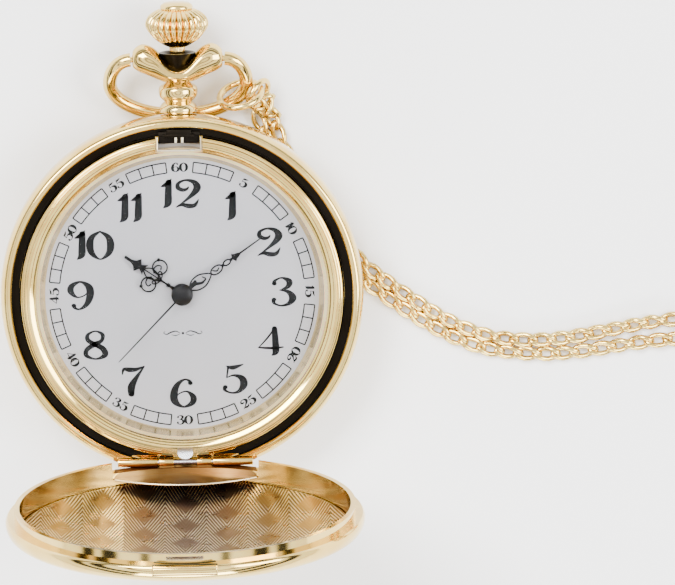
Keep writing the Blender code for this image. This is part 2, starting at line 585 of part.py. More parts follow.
def make_movement():
    turned("movement_ring", [(12.3, 6.85), (20.1, 6.85), (20.1, 4.6), (12.3, 4.6)], PLASTIC)
    plate("main_plate", [circle(MOVEMENT_R, count=48), circle(0.85, count=12)], PLATE_Z0, PLATE_Z1, STEEL)
    stem_slot = box("stem_slot", (-1.2, 7.0, 4.0), (1.2, 22.0, 8.0))
    for name in ("movement_ring", "main_plate"):
        cut(bpy.data.objects[name], stem_slot)

    corners = [(along, off) for along in (-7.6, 5.6) for off in (-3.3, 3.3)]
    bridge_outline = turn_points(rounded_box(7.6, 4.2, 0.9, (-0.95, 0)), TRAIN_TURN)
    bridge = plate("train_bridge", [bridge_outline], BRIDGE_Z0, BRIDGE_Z1, STEEL)
    for number, corner in enumerate(corners, 1):
        x, y = along_train(*corner)
        join(bridge, rod("bridge_pillar", (x, y, 3.0), (x, y, PLATE_Z0 - 0.05), 0.6, steps=12))
        screw = turned(f"bridge_screw_{number}", [
            (0, BRIDGE_Z0 - 0.05), (0.7, BRIDGE_Z0 - 0.05), (0.7, 2.3), (0, 2.3)], STEEL, steps=12, at=(x, y, 0))
        slot = box("screw_slot", (x - 1, y - 0.12, 2.2), (x + 1, y + 0.12, 2.4))
        cut(screw, slot)

    stator_outline = turn_points(rounded_box(1.25, 4.4, 0.3, (5.75, 0)), TRAIN_TURN)
    stator_holes = [circle(1.05, along_train(ROTOR_AT), 16)]
    stator_holes += [circle(0.75, along_train(5.6, off), 12) for off in (-3.3, 3.3)]
    plate("stator", [stator_outline] + stator_holes, 3.65, 4.15, STEEL)

    ends = [along_train(COIL_AT, off) for off in (-COIL_HALF, COIL_HALF)]
    coil = rod("coil", (*ends[0], 3.9), (*ends[1], 3.9), 0.75, COPPER)
    for off in (-COIL_HALF, COIL_HALF - 0.4):
        a, b = along_train(COIL_AT, off), along_train(COIL_AT, off + 0.4)
        join(coil, rod("coil_flange", (*a, 3.9), (*b, 3.9), 0.92))

    board = turn_points(rounded_box(5.4, 5.2, 0.8, (4.4, 1.3)), TRAIN_TURN)
    plate("circuit_board", [board], 1.75, 2.1, BOARD)
    can = [(*along_train(along, 5.6), 2.95) for along in (0.5, 5.1)]
    rod("quartz_can", *can, 0.7, STEEL)
    rod("battery", (*BATTERY_AT, 1.3), (*BATTERY_AT, 3.8), BATTERY_R, STEEL, steps=32)
    plate("battery_clamp", [turn_points(rounded_box(4.6, 0.9, 0.4, (0, -7.9)), -45)], 0.98, 1.16, STEEL)
    lever = [(3.9, 8.6), (4.5, 9.2), (3.9, 10.0), (1.4, 11.3), (0.3, 11.5), (0.3, 10.9), (1.2, 10.5), (3.2, 9.3)]
    x, y = LEVER_AT
    blade = plate("setting_lever", [[(px - x, py - y) for px, py in lever]], 6.92, 7.05, STEEL)
    post = rod("lever_post", (0, 0, PLATE_Z1 + 0.05), (0, 0, 7.0), 0.3, steps=12)
    for guide in (blade, post):
        guide.location = (x * MM, y * MM, 0)
    join(blade, post)


# Chain

def smooth_route(points, per_span=2):
    """A Catmull-Rom curve through points in the plane."""
    ends = [points[0]] + points + [points[-1]]
    out = []
    for a, b, c, d in zip(ends, ends[1:], ends[2:], ends[3:]):
        for i in range(per_span):
            t = i / per_span
            out.append(tuple(
                0.5 * (2 * q + (r - p) * t + (2 * p - 5 * q + 4 * r - s) * t * t + (3 * q - p - 3 * r + s) * t ** 3)
                for p, q, r, s in zip(a, b, c, d)
            ))
    return out + [points[-1]]


def strand_route(points, side):
    """One strand's route: the middle of the pair's, moved to the left where side is 1."""
    moved = []
    for i, (x, y) in enumerate(points):
        parted = min(1.0, max(0.0, (x - PARTING[0]) / (PARTING[1] - PARTING[0])))
        distance = side * (STRANDS_TOGETHER + (STRANDS_APART - STRANDS_TOGETHER) * parted) / 2
        before, after = points[max(i - 1, 0)], points[min(i + 1, len(points) - 1)]
        dx, dy = after[0] - before[0], after[1] - before[1]
        length = math.hypot(dx, dy)
        moved.append((x - dy / length * distance, y + dx / length * distance))
    return moved


def make_chain():
    ring("bow_ring", (8.07, 25.48, 4.18), (-0.208, 0.866, 0.455), 2.75, 0.45, GOLD)
    ring("link_ring", (10.45, 25.46, 3.57), (0.785, -0.39, 0.482), 1.9, 0.4, GOLD)
    route = smooth_route(CHAIN_ROUTE)
    for name, side in (("chain_strand_a", 1), ("chain_strand_b", -1)):
        points = [(x, y, CHAIN_R) for x, y in strand_route(route, side)]
        tube(name, points, CHAIN_R, GOLD)
    x, y = COIL_CENTRE
    turned("chain_coil", [
        (COIL_INNER_R, COIL_H), (COIL_OUTER_R, COIL_H), (COIL_OUTER_R, 0.05), (COIL_INNER_R, 0.05)],
        GOLD, steps=40, at=(x, y, 0))

    body = plate("clasp_body", [rounded_box(4.6, 1.9, 1.85, steps=6),
                                rounded_box(2.0, 0.95, 0.9, (1.5, 0), steps=3)], 1.0, 2.1, GOLD)
    gate = box("clasp_gate_cut", (0.8, 0.6, 0), (3.2, 3.0, 3))
    for guide in (body, gate):
        guide.location = (x * MM, y * MM, 0)
    cut(body, gate)
    lever = plate("clasp_lever", [rounded_box(1.0, 0.42, 0.4, (0.6, 0), steps=3)], 1.05, 2.05, GOLD)
    lever.location = ((x + 1.35) * MM, (y + 1.42) * MM, 0)
    ring("clasp_ring", (x + 4.05, y, 2.05), (0, 1, 0), 1.65, 0.3, GOLD)


def main():
    make_case()
    make_catch()
    make_lift_spring()
    make_lid()
    make_pendant()
    make_bow()
    make_crown()
    make_dial()
    make_hands()
    make_train()
    make_movement()
    make_chain()


main()
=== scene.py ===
"""Looks of the pocket watch: polished gold case, engraved lid lining, printed dial and link chain.

Sizes are in millimetres and angles in degrees. The helpers turn them into Blender's metres.
"""

import math
import random

import bmesh
import bpy
from mathutils import Matrix, Vector


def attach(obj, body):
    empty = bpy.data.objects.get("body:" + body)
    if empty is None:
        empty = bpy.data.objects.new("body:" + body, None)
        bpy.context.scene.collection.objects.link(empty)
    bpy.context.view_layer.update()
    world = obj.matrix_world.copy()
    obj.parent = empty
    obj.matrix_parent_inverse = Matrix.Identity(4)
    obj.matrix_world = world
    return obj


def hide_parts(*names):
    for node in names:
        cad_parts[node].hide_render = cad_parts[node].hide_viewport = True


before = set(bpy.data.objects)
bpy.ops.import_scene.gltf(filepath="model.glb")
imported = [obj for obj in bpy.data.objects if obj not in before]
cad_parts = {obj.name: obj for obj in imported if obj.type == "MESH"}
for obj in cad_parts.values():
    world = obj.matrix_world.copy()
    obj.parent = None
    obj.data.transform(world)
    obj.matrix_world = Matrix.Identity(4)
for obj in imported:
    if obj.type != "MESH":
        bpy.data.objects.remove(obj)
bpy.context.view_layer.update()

MM = 0.001
STEPS = 192  # segments of a turned piece

# The watch, as in the CAD
BACK_FLAT_R, BACK_R, BAND_Z0 = 11.0, 21.9, 4.3
RECESS_R, RECESS_Z, BORE_R = 22.2, 8.3, 20.3
HINGE_Y, HINGE_Z, KNUCKLE_R = -21.8, 9.6, 0.6
CASE_KNUCKLES, LID_KNUCKLES = (3.6, 8.8), (1.5, 3.4)  # from the middle, on both sides
HINGE_CUT = 9.35  # half the width cut out of the case for the hinge
LID_OPEN, LID_Z0 = 97.5, 10.28
PIVOT_Y, PENDANT_Z = 30.6, 6.0
BOW_REST, BOW_WIRE_R, BOW_HALF, BOW_REACH, BOW_SHOULDER, BOW_NARROW = -153.5, 0.9, 8.87, 8.8, 3.7, 6.1
DIAL_TOP = 7.5
PRINT_Z, RAIL_Z = DIAL_TOP + 0.015, DIAL_TOP + 0.012
HOUR_NUMBERS_R, MINUTE_NUMBERS_R = 13.1, 16.6
RAIL_RADII, RAIL_HALF = (15.95, 17.3), 0.085  # the two rings of the minute track
HOUR_ANGLE, MINUTE_ANGLE, SECOND_ANGLE = 304.6, 55.1, 224.2
HOUR_HAND_Z, MINUTE_HAND_Z, SECOND_HAND_Z = 7.97, 8.47, 9.05
FLUTES, FLUTE_DEPTH = 28, 0.15

# Chain
STRAND_Z, LINK_PITCH, LINK_WIDTH, LINK_WIRE_R = 0.8, 2.45, 1.4, 0.36
STRANDS_TOGETHER, STRANDS_APART, PARTING = 1.7, 2.7, (44.0, 66.0)
COIL_CENTRE, COIL_RADII, COIL_TURNS = (90.5, 11.0), (19.0, 14.1), 3
COIL_LAYERS, COIL_STEP = (1.15, 3.05), 15.0
CLASP_Z = 1.5
CHAIN_ROUTE = [
    (10.8, 22.8), (11.9, 20.3), (12.7, 17.6), (14.1, 15.1), (16.2, 12.6), (18.0, 9.8), (19.5, 6.8),
    (21.2, 4.0), (23.4, 1.5), (25.9, -0.4), (28.9, -2.6), (33.9, -5.8), (39.3, -8.1), (45.1, -8.9),
    (50.8, -8.7), (57.3, -7.7), (63.8, -6.9), (70.0, -7.1), (75.4, -7.8), (78.6, -8.1),
]
LEAD_IN = {  # from the strand's end up onto its layer of the coil
    "a": [(81.6, -7.2, 0.95), (84.8, -7.5, 1.1)],
    "b": [(81.6, -9.45, 1.05), (85.2, -9.3, 1.6), (89.0, -8.8, 2.4)],
}
COIL_START = {"a": 262.0, "b": 277.0}
COIL_END = {"a": (172.0, 5.5), "b": (352.0, 5.0)}  # angle and radius where the strand meets the clasp

# The lid lining's engraving
COLUMN_APART, LOZENGE_APART, LOZENGE_HALF = 5.35, 7.2, (2.0, 3.3)
CHEVRON_PITCH, LINING_R = (0.42, 1.4), 21.0

# Camera: a long lens, leaning a little towards 12 o'clock
CAMERA_LEAN, CAMERA_ROLL = 8.5, 1.1
CAMERA_DISTANCE, FRAME_WIDTH = 2600.0, 87.75
AIM_RIGHT, AIM_UP = 20.2, 0.14


# Camera

def make_camera():
    lean, roll = math.radians(CAMERA_LEAN), math.radians(CAMERA_ROLL)
    towards = Vector((0, math.sin(lean), math.cos(lean)))
    straight_up = Vector((0, math.cos(lean), -math.sin(lean)))
    across = Vector((1, 0, 0))
    right = across * math.cos(roll) - straight_up * math.sin(roll)
    up = straight_up * math.cos(roll) + across * math.sin(roll)
    aim = Vector((0, 0, DIAL_TOP)) + right * AIM_RIGHT + up * AIM_UP
    data = bpy.data.cameras.new("camera")
    data.sensor_width = 36.0
    data.lens = 36.0 * CAMERA_DISTANCE / FRAME_WIDTH
    data.clip_end = 20.0
    camera = bpy.data.objects.new("camera", data)
    bpy.context.scene.collection.objects.link(camera)
    turn = Matrix((right, up, towards)).transposed().to_4x4()
    camera.matrix_world = Matrix.Translation((aim + towards * CAMERA_DISTANCE) * MM) @ turn
    bpy.context.scene.camera = camera


# Materials

class Nodes:
    """A short way to write a material's node tree."""

    def __init__(self, name, color, metallic=0.0, roughness=0.4, **sockets):
        self.material = bpy.data.materials.new(name)
        self.material.use_nodes = True
        self.tree = self.material.node_tree
        self.shader = self.tree.nodes["Principled BSDF"]
        self.set("Base Color", (*color, 1.0))
        self.set("Metallic", metallic)
        self.set("Roughness", roughness)
        for socket, value in sockets.items():
            self.set(socket.replace("_", " "), value)

    def set(self, socket, value):
        self.shader.inputs[socket].default_value = value

    def add(self, kind, links=(), **values):
        """A node with its properties and unlinked inputs set, and the given inputs linked."""
        node = self.tree.nodes.new(kind)
        for key, value in values.items():
            if key.startswith("in_"):
                node.inputs[int(key[3:])].default_value = value
            else:
                setattr(node, key, value)
        for socket, source in dict(links).items():
            self.tree.links.new(source, node.inputs[socket])
        return node

    def noise(self, scale, detail=3.0, stretch=None):
        place = self.add("ShaderNodeTexCoord").outputs["Object"]
        if stretch:
            place = self.add("ShaderNodeMapping", {"Vector": place}, in_3=stretch).outputs[0]
        noise = self.add("ShaderNodeTexNoise", {"Vector": place})
        noise.inputs["Scale"].default_value = scale
        noise.inputs["Detail"].default_value = detail
        return noise.outputs[0]

    def math(self, operation, a, b=None):
        node = self.add("ShaderNodeMath", operation=operation)
        for index, value in enumerate((a, b)):
            if value is None:
                continue
            if isinstance(value, (int, float)):
                node.inputs[index].default_value = value
            else:
                self.tree.links.new(value, node.inputs[index])
        return node.outputs[0]

    def ramp(self, factor, *stops):
        node = self.add("ShaderNodeValToRGB", {"Fac": factor})
        elements = node.color_ramp.elements
        while len(elements) < len(stops):
            elements.new(0.5)
        for element, (position, color) in zip(elements, stops):
            element.position = position
            element.color = (*color, 1.0)
        return node.outputs[0]

    def grey_range(self, factor, low, high):
        node = self.add("ShaderNodeMapRange", {"Value": factor}, in_3=low, in_4=high)
        return node.outputs[0]

    def bump(self, height, distance, strength=1.0, below=None):
        """Bump of the given depth in millimetres, laid over an earlier one where there is one."""
        links = {"Height": height}
        if below:
            links["Normal"] = below
        node = self.add("ShaderNodeBump", links)
        node.inputs["Distance"].default_value = distance * MM
        node.inputs["Strength"].default_value = strength
        return node.outputs[0]

    def link(self, socket, source):
        self.tree.links.new(source, self.shader.inputs[socket])
        return self


def gold(name, roughness=0.12, color=(0.82, 0.60, 0.20), grain=0.0015):
    """Polished gold plate: slight tone changes, handling haze and fine polishing marks."""
    m = Nodes(name, color, 1.0, roughness)
    deep = tuple(c * k for c, k in zip(color, (0.86, 0.78, 0.62)))
    m.link("Base Color", m.ramp(m.noise(180.0, 4.0), (0.30, deep), (0.62, color)))
    m.link("Roughness", m.grey_range(m.noise(420.0, 6.0), roughness * 0.75, roughness * 1.6))
    fine = m.bump(m.noise(9000.0, 3.0, (1, 1, 4)), grain)
    m.link("Normal", m.bump(m.noise(140.0, 2.0), grain * 6, below=fine))
    return m.material


def engraved_gold():
    """The lid's lining: smooth lozenges in staggered columns, with fine chevron lines between them. Its
    colour paints light: near-black painted shade in the grooves, a near-white painted highlight on the
    ridges, and painted shade that darkens the lozenges towards the middle.
    """
    m = Nodes("engraved_gold", (0.90, 0.68, 0.30), 1.0, 0.2)
    place = m.add("ShaderNodeUVMap", uv_map="turned").outputs[0]
    split = m.add("ShaderNodeSeparateXYZ", {0: place})
    across, along = split.outputs[0], split.outputs[1]
    column = m.math("DIVIDE", across, COLUMN_APART)
    nearest = m.math("ROUND", column)
    from_column = m.math("MULTIPLY", m.math("ABSOLUTE", m.math("SUBTRACT", column, nearest)), COLUMN_APART)
    stagger = m.math("MULTIPLY", m.math("FLOORED_MODULO", nearest, 2.0), 0.5)
    row = m.math("ADD", m.math("DIVIDE", along, LOZENGE_APART), stagger)
    from_row = m.math("MULTIPLY", m.math("ABSOLUTE", m.math("SUBTRACT", row, m.math("ROUND", row))),
                      LOZENGE_APART)
    reach = m.math("ADD", m.math("DIVIDE", from_column, LOZENGE_HALF[0]),
                   m.math("DIVIDE", from_row, LOZENGE_HALF[1]))
    outside = m.add("ShaderNodeMapRange", {"Value": reach}, in_1=0.7, in_2=1.1, in_3=0.06,
                    in_4=1.0).outputs[0]
    slope = m.math("DIVIDE", from_column, CHEVRON_PITCH[0])
    phase = m.math("MULTIPLY", m.math("ADD", m.math("DIVIDE", along, CHEVRON_PITCH[1]), slope), 2 * math.pi)
    line = m.math("MULTIPLY", m.math("MULTIPLY", m.math("SINE", phase), outside), 0.5)
    depth = m.math("ADD", line, 0.5)
    shade_wash = m.noise(70.0, 2.0)
    # Painted shade: near-black colour in the grooves of the chevron lines.
    low = m.ramp(shade_wash, (0.35, (0.05, 0.022, 0.010)), (0.65, (0.09, 0.045, 0.015)))
    outwards = m.math("DIVIDE", m.math("ABSOLUTE", across), LINING_R)
    # Painted shade: the smooth lozenges are darker towards the middle of the lid.
    mid = m.ramp(outwards, (0.12, (0.19, 0.115, 0.075)), (0.62, (0.46, 0.28, 0.09)))
    # Painted highlight: near-white colour on the ridges of the chevron lines.
    high = m.ramp(shade_wash, (0.35, (0.97, 0.84, 0.55)), (0.65, (1.0, 0.88, 0.60)))
    lower = m.add("ShaderNodeMapRange", {"Value": depth}, in_1=0.0, in_2=0.5).outputs[0]
    upper = m.add("ShaderNodeMapRange", {"Value": depth}, in_1=0.5, in_2=1.0).outputs[0]
    painted_shade_half = m.add("ShaderNodeMix", {"Factor": lower, 6: low, 7: mid}, data_type="RGBA").outputs[2]
    whole = m.add("ShaderNodeMix", {"Factor": upper, 6: painted_shade_half, 7: high}, data_type="RGBA").outputs[2]
    m.link("Base Color", whole)
    m.link("Roughness", m.grey_range(m.noise(500.0, 5.0), 0.22, 0.36))
    m.link("Normal", m.bump(depth, 0.05, 1.0, below=m.bump(m.noise(6000.0), 0.002)))
    return m.material


def dial_enamel():
    """Silvery white dial paint with a very fine satin grain."""
    m = Nodes("dial_enamel", (0.42, 0.42, 0.445), 0.0, 0.42)
    m.link("Base Color", m.ramp(m.noise(90.0, 3.0), (0.3, (0.405, 0.405, 0.435)),
                                (0.7, (0.44, 0.44, 0.47))))
    m.link("Roughness", m.grey_range(m.noise(3000.0, 2.0), 0.36, 0.5))
    m.link("Normal", m.bump(m.noise(14000.0, 2.0), 0.002))
    return m.material


def steel(name, color=(0.60, 0.61, 0.63), roughness=0.26):
    """Brushed movement steel."""
    m = Nodes(name, color, 1.0, roughness)
    streaks = m.noise(900.0, 5.0, (1, 18, 1))
    m.link("Roughness", m.grey_range(streaks, roughness * 0.7, roughness * 1.5))
    m.link("Normal", m.bump(streaks, 0.004))
    return m.material


def lacquer(name, color=(0.004, 0.004, 0.005), roughness=0.3):
    """Black lacquer or print, with a soft unevenness."""
    m = Nodes(name, color, 0.0, roughness, Specular_IOR_Level=0.18)
    m.link("Roughness", m.grey_range(m.noise(1500.0, 3.0), roughness * 0.8, roughness * 1.5))
    m.link("Normal", m.bump(m.noise(2500.0, 2.0), 0.003))
    return m.material


def plain(name, color, roughness, grain=2000.0, depth=0.01, metallic=0.0):
    """A moulded, printed or cast surface with grain in its tone and height."""
    m = Nodes(name, color, metallic, roughness)
    grain_noise = m.noise(grain, 4.0)
    low = tuple(c * 0.85 for c in color)
    m.link("Base Color", m.ramp(grain_noise, (0.3, low), (0.7, color)))
    m.link("Normal", m.bump(grain_noise, depth))
    return m.material


def clear_glass():
    m = Nodes("clear_glass", (1.0, 1.0, 1.0), 0.0, 0.0, Transmission_Weight=1.0, IOR=1.04,
              Specular_IOR_Level=0.2)
    m.link("Normal", m.bump(m.noise(40.0, 1.0), 0.0005))
    return m.material


# Mesh helpers

def finish(name, bm, look, body=None, smooth=40.0, replaces=()):
    """Turn a bmesh into an object, and where a body is given, into a piece that rides on it."""
    bmesh.ops.remove_doubles(bm, verts=bm.verts, dist=1e-7)
    bmesh.ops.recalc_face_normals(bm, faces=bm.faces)
    mesh = bpy.data.meshes.new(name)
    bm.to_mesh(mesh)
    bm.free()
    mesh.materials.append(look)
    obj = bpy.data.objects.new(name, mesh)
    bpy.context.scene.collection.objects.link(obj)
    shade(mesh, smooth)
    if body:
        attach(obj, body)
        if replaces:
            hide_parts(*replaces)
    return obj


def shade(mesh, angle):
    mesh.shade_smooth()
    mesh.set_sharp_from_angle(angle=math.radians(angle))


def lathe(profile, steps=STEPS, place=None):
    """A bmesh of a (radius, height) profile turned about Z. Points on the axis close it."""
    bm = bmesh.new()
    rings = []
    for radius, height in profile:
        if radius == 0:
            rings.append([bm.verts.new((0, 0, height * MM))])
            continue
        turn = [2 * math.pi * i / steps for i in range(steps)]
        rings.append([bm.verts.new((radius * MM * math.cos(a), radius * MM * math.sin(a),
                                    height * MM)) for a in turn])
    closed = profile[0][0] != 0
    pairs = list(zip(rings, rings[1:])) + ([(rings[-1], rings[0])] if closed else [])
    for one, other in pairs:
        for i in range(steps):
            j = (i + 1) % steps
            corners = [one[i % len(one)], one[j % len(one)], other[j % len(other)], other[i % len(other)]]
            unique = list(dict.fromkeys(corners))
            if len(unique) > 2:
                bm.faces.new(unique)
    if place:
        bmesh.ops.transform(bm, matrix=place, verts=bm.verts)
    return bm


def soften(points, cyclic=False, per_span=4):
    """A Catmull-Rom curve through points of any dimension."""
    count = len(points)
    if cyclic:
        spans = [[points[(i + k) % count] for k in (-1, 0, 1, 2)] for i in range(count)]
    else:
        ends = [points[0]] + list(points) + [points[-1]]
        spans = [ends[i:i + 4] for i in range(count - 1)]
    out = []
    for a, b, c, d in spans:
        for i in range(per_span):
            t = i / per_span
            out.append(tuple(
                0.5 * (2 * q + (r - p) * t + (2 * p - 5 * q + 4 * r - s) * t * t
                       + (3 * q - p - 3 * r + s) * t ** 3)
                for p, q, r, s in zip(a, b, c, d)
            ))
    return out if cyclic else out + [tuple(points[-1])]


def block(low, high, bevel=0.0, place=None):
    """A bmesh of a box between two corners, with its edges rounded."""
    low, high = Vector(low) * MM, Vector(high) * MM
    bm = bmesh.new()
    bmesh.ops.create_cube(bm, size=1.0)
    bmesh.ops.scale(bm, vec=high - low, verts=bm.verts)
    bmesh.ops.translate(bm, vec=(low + high) / 2, verts=bm.verts)
    if bevel:
        bmesh.ops.bevel(bm, geom=bm.edges[:], offset=bevel * MM, segments=3, profile=0.5, affect="EDGES")
    if place:
        bmesh.ops.transform(bm, matrix=place, verts=bm.verts)
    return bm


def bar(start, end, radius, steps=32, bevel=0.0):
    """A bmesh of a cylinder between two points."""
    start, end = Vector(start) * MM, Vector(end) * MM
    along = end - start
    bm = bmesh.new()
    bmesh.ops.create_cone(bm, cap_ends=True, segments=steps, depth=along.length, radius1=radius * MM,
                          radius2=radius * MM)
    if bevel:
        rims = [e for e in bm.edges if abs(e.verts[0].co.z - e.verts[1].co.z) < 1e-9]
        bmesh.ops.bevel(bm, geom=rims, offset=bevel * MM, segments=3, profile=0.5, affect="EDGES")
    turn = Vector((0, 0, 1)).rotation_difference(along).to_matrix().to_4x4()
    bmesh.ops.transform(bm, matrix=Matrix.Translation((start + end) / 2) @ turn, verts=bm.verts)
    return bm


def merge(*bodies):
    """One bmesh that holds all of the given ones."""
    whole = bmesh.new()
    for bm in bodies:
        mesh = bpy.data.meshes.new("joined")
        bm.to_mesh(mesh)
        bm.free()
        whole.from_mesh(mesh)
        bpy.data.meshes.remove(mesh)
    return whole


def carved(obj, *steps):
    """Apply Boolean steps of (operation, bmesh) to an object, and keep only the result."""
    for operation, bm in steps:
        mesh = bpy.data.meshes.new("guide")
        bmesh.ops.recalc_face_normals(bm, faces=bm.faces)
        bm.to_mesh(mesh)
        bm.free()
        guide = bpy.data.objects.new("guide", mesh)
        bpy.context.scene.collection.objects.link(guide)
        modifier = obj.modifiers.new("carve", "BOOLEAN")
        modifier.operation = operation
        modifier.object = guide
        modifier.solver = "EXACT"
        bpy.context.view_layer.update()
        result = bpy.data.meshes.new_from_object(obj.evaluated_get(bpy.context.evaluated_depsgraph_get()))
        obj.modifiers.clear()
        obj.data = result
        bpy.data.objects.remove(guide)
    shade(obj.data, 35)
    return obj


def skin(bm, rings, cyclic=False):
    """Faces between rings of vertices, closed back to the first ring or capped at both ends."""
    pairs = list(zip(rings, rings[1:])) + ([(rings[-1], rings[0])] if cyclic else [])
    for one, two in pairs:
        for k in range(len(one)):
            j = (k + 1) % len(one)
            bm.faces.new((one[k], one[j], two[j], two[k]))
    if not cyclic:
        bm.faces.new(rings[0])
        bm.faces.new(rings[-1])


def sweep(path, radius, sides=12, cyclic=False):
    """A bmesh of a round wire along points in millimetres."""
    bm = bmesh.new()
    points = [Vector(p) * MM for p in path]
    count = len(points)
    rings, side = [], None
    for i, point in enumerate(points):
        before = points[(i - 1) % count] if cyclic or i else point
        after = points[(i + 1) % count] if cyclic or i < count - 1 else point
        tangent = (after - before).normalized()
        if side is None:
            side = tangent.orthogonal().normalized()
        side = (side - tangent * side.dot(tangent)).normalized()
        other = tangent.cross(side)
        r = radius * MM
        turn = [2 * math.pi * k / sides for k in range(sides)]
        rings.append([bm.verts.new(point + r * (math.cos(a) * side + math.sin(a) * other)) for a in turn])
    skin(bm, rings, cyclic)
    return bm


def lid_place():
    """From the shut lid's place to where it stands open."""
    hinge = Vector((0, HINGE_Y, HINGE_Z)) * MM
    turn = Matrix.Rotation(math.radians(LID_OPEN), 4, "X")
    return Matrix.Translation(hinge) @ turn @ Matrix.Translation(-hinge)


# Chain

def strand_route(points, side):
    """One strand's route: the middle of the pair's, moved to the left where side is 1."""
    moved = []
    for i, (x, y) in enumerate(points):
        before, after = points[max(i - 1, 0)], points[min(i + 1, len(points) - 1)]
        dx, dy = after[0] - before[0], after[1] - before[1]
        length = math.hypot(dx, dy)
        parted = min(1.0, max(0.0, (x - PARTING[0]) / (PARTING[1] - PARTING[0])))
        distance = side * (STRANDS_TOGETHER + (STRANDS_APART - STRANDS_TOGETHER) * parted) / 2
        moved.append((x - dy / length * distance, y + dx / length * distance, STRAND_Z))
    return moved


def strand_path(strand):
    """One strand: out from the watch, round the coil from its outside inwards, and in to the clasp."""
    side, height = (1, COIL_LAYERS[0]) if strand == "a" else (-1, COIL_LAYERS[1])
    path = strand_route(soften(CHAIN_ROUTE, per_span=2), side) + LEAD_IN[strand]
    outer, inner = COIL_RADII
    start = COIL_START[strand]
    end, end_radius = COIL_END[strand]
    last = (end - start) % 360
    turned_angle = 0.0
    while turned_angle < 360 * COIL_TURNS + last + 0.1:
        share = min(1.0, turned_angle / (360 * COIL_TURNS))
        radius, z = outer + (inner - outer) * share, height
        if turned_angle > 360 * COIL_TURNS:
            inwards = (turned_angle - 360 * COIL_TURNS) / last
            eased = inwards * inwards * (3 - 2 * inwards)
            radius += (end_radius - inner) * eased
            z += (CLASP_Z - height) * eased
        a = math.radians(start + turned_angle)
        path.append((COIL_CENTRE[0] + radius * math.cos(a), COIL_CENTRE[1] + radius * math.sin(a), z))
        turned_angle += COIL_STEP
    return soften(path, per_span=3)


def resample(path, step):
    """Points at equal steps along a path, with the length of the path."""
    points = [Vector(p) for p in path]
    out, left = [points[0]], step
    total = 0.0
    for a, b in zip(points, points[1:]):
        span = (b - a).length
        total += span
        done = 0.0
        while span - done >= left:
            done += left
            out.append(a.lerp(b, done / span))
            left = step
        left -= span - done
    return out, total


def link_mesh(bm, centre, along, up, length, width, wire, twist, roll, sides=7, steps=18):
    """One twisted oval link, added to a bmesh."""
    side = up.cross(along).normalized()
    up = along.cross(side).normalized()
    rings = []
    for i in range(steps):
        a = 2 * math.pi * i / steps
        squeeze = 1 - 0.16 * math.cos(a) ** 2
        centre_line = Vector((length / 2 * math.cos(a), width / 2 * math.sin(a) * squeeze, 0))
        inward = Vector((-math.cos(a), -math.sin(a), 0))
        ring = []
        turn = roll + twist * math.cos(a)
        spin = Matrix.Rotation(turn, 3, "X")
        for k in range(sides):
            b = 2 * math.pi * k / sides
            local = centre_line + wire * (math.cos(b) * inward + Vector((0, 0, math.sin(b))))
            local = spin @ local
            ring.append(bm.verts.new((centre + along * local.x + side * local.y + up * local.z) * MM))
        rings.append(ring)
    skin(bm, rings, cyclic=True)


def chain_strand(strand, look, seed):
    """A strand of twisted curb links along its route."""
    path = strand_path(strand)
    centres, total = resample(path, LINK_PITCH)
    shake = random.Random(seed)
    bm = bmesh.new()
    for a, b in zip(centres, centres[1:]):
        along = (b - a).normalized()
        twist = math.radians(50 + shake.uniform(-12, 12))
        link_mesh(bm, (a + b) / 2, along, Vector((0, 0, 1)), LINK_PITCH + 0.85, LINK_WIDTH, LINK_WIRE_R,
                  twist, shake.uniform(-0.4, 0.4))
    piece = finish("chain_links_" + strand, bm, look, "case", 60, ("chain_strand_" + strand,))
    print(piece.name, "length", round(total, 1), "links", len(centres) - 1)
    tuple(Vector(path[0]) * MM)
    [tuple(Vector(p) * MM) for p in path]
    return piece


def make_chain(look):
    chain_strand("a", look, 3)
    second = chain_strand("b", look, 8)
    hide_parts("chain_coil")


# Case

def back_profile():
    """The back's dished outside, from its flat to its rim."""
    points = []
    for i in range(13):
        r = BACK_FLAT_R + (BACK_R - BACK_FLAT_R) * i / 12
        points.append((r, (BAND_Z0 - 0.1) * (i / 12) ** 1.65))
    return points


def knuckles(span, leaf_low, leaf_high):
    """Boolean steps for a knuckle and its leaf on both sides. The leaf's corners are (y, z)."""
    steps = []
    for sign in (-1, 1):
        x0, x1 = sorted((sign * span[0], sign * span[1]))
        barrel = bar((x0, HINGE_Y, HINGE_Z), (x1, HINGE_Y, HINGE_Z), KNUCKLE_R, 48, bevel=0.06)
        steps += [("UNION", barrel), ("UNION", block((x0 + 0.02, *leaf_low), (x1 - 0.02, *leaf_high)))]
    return steps


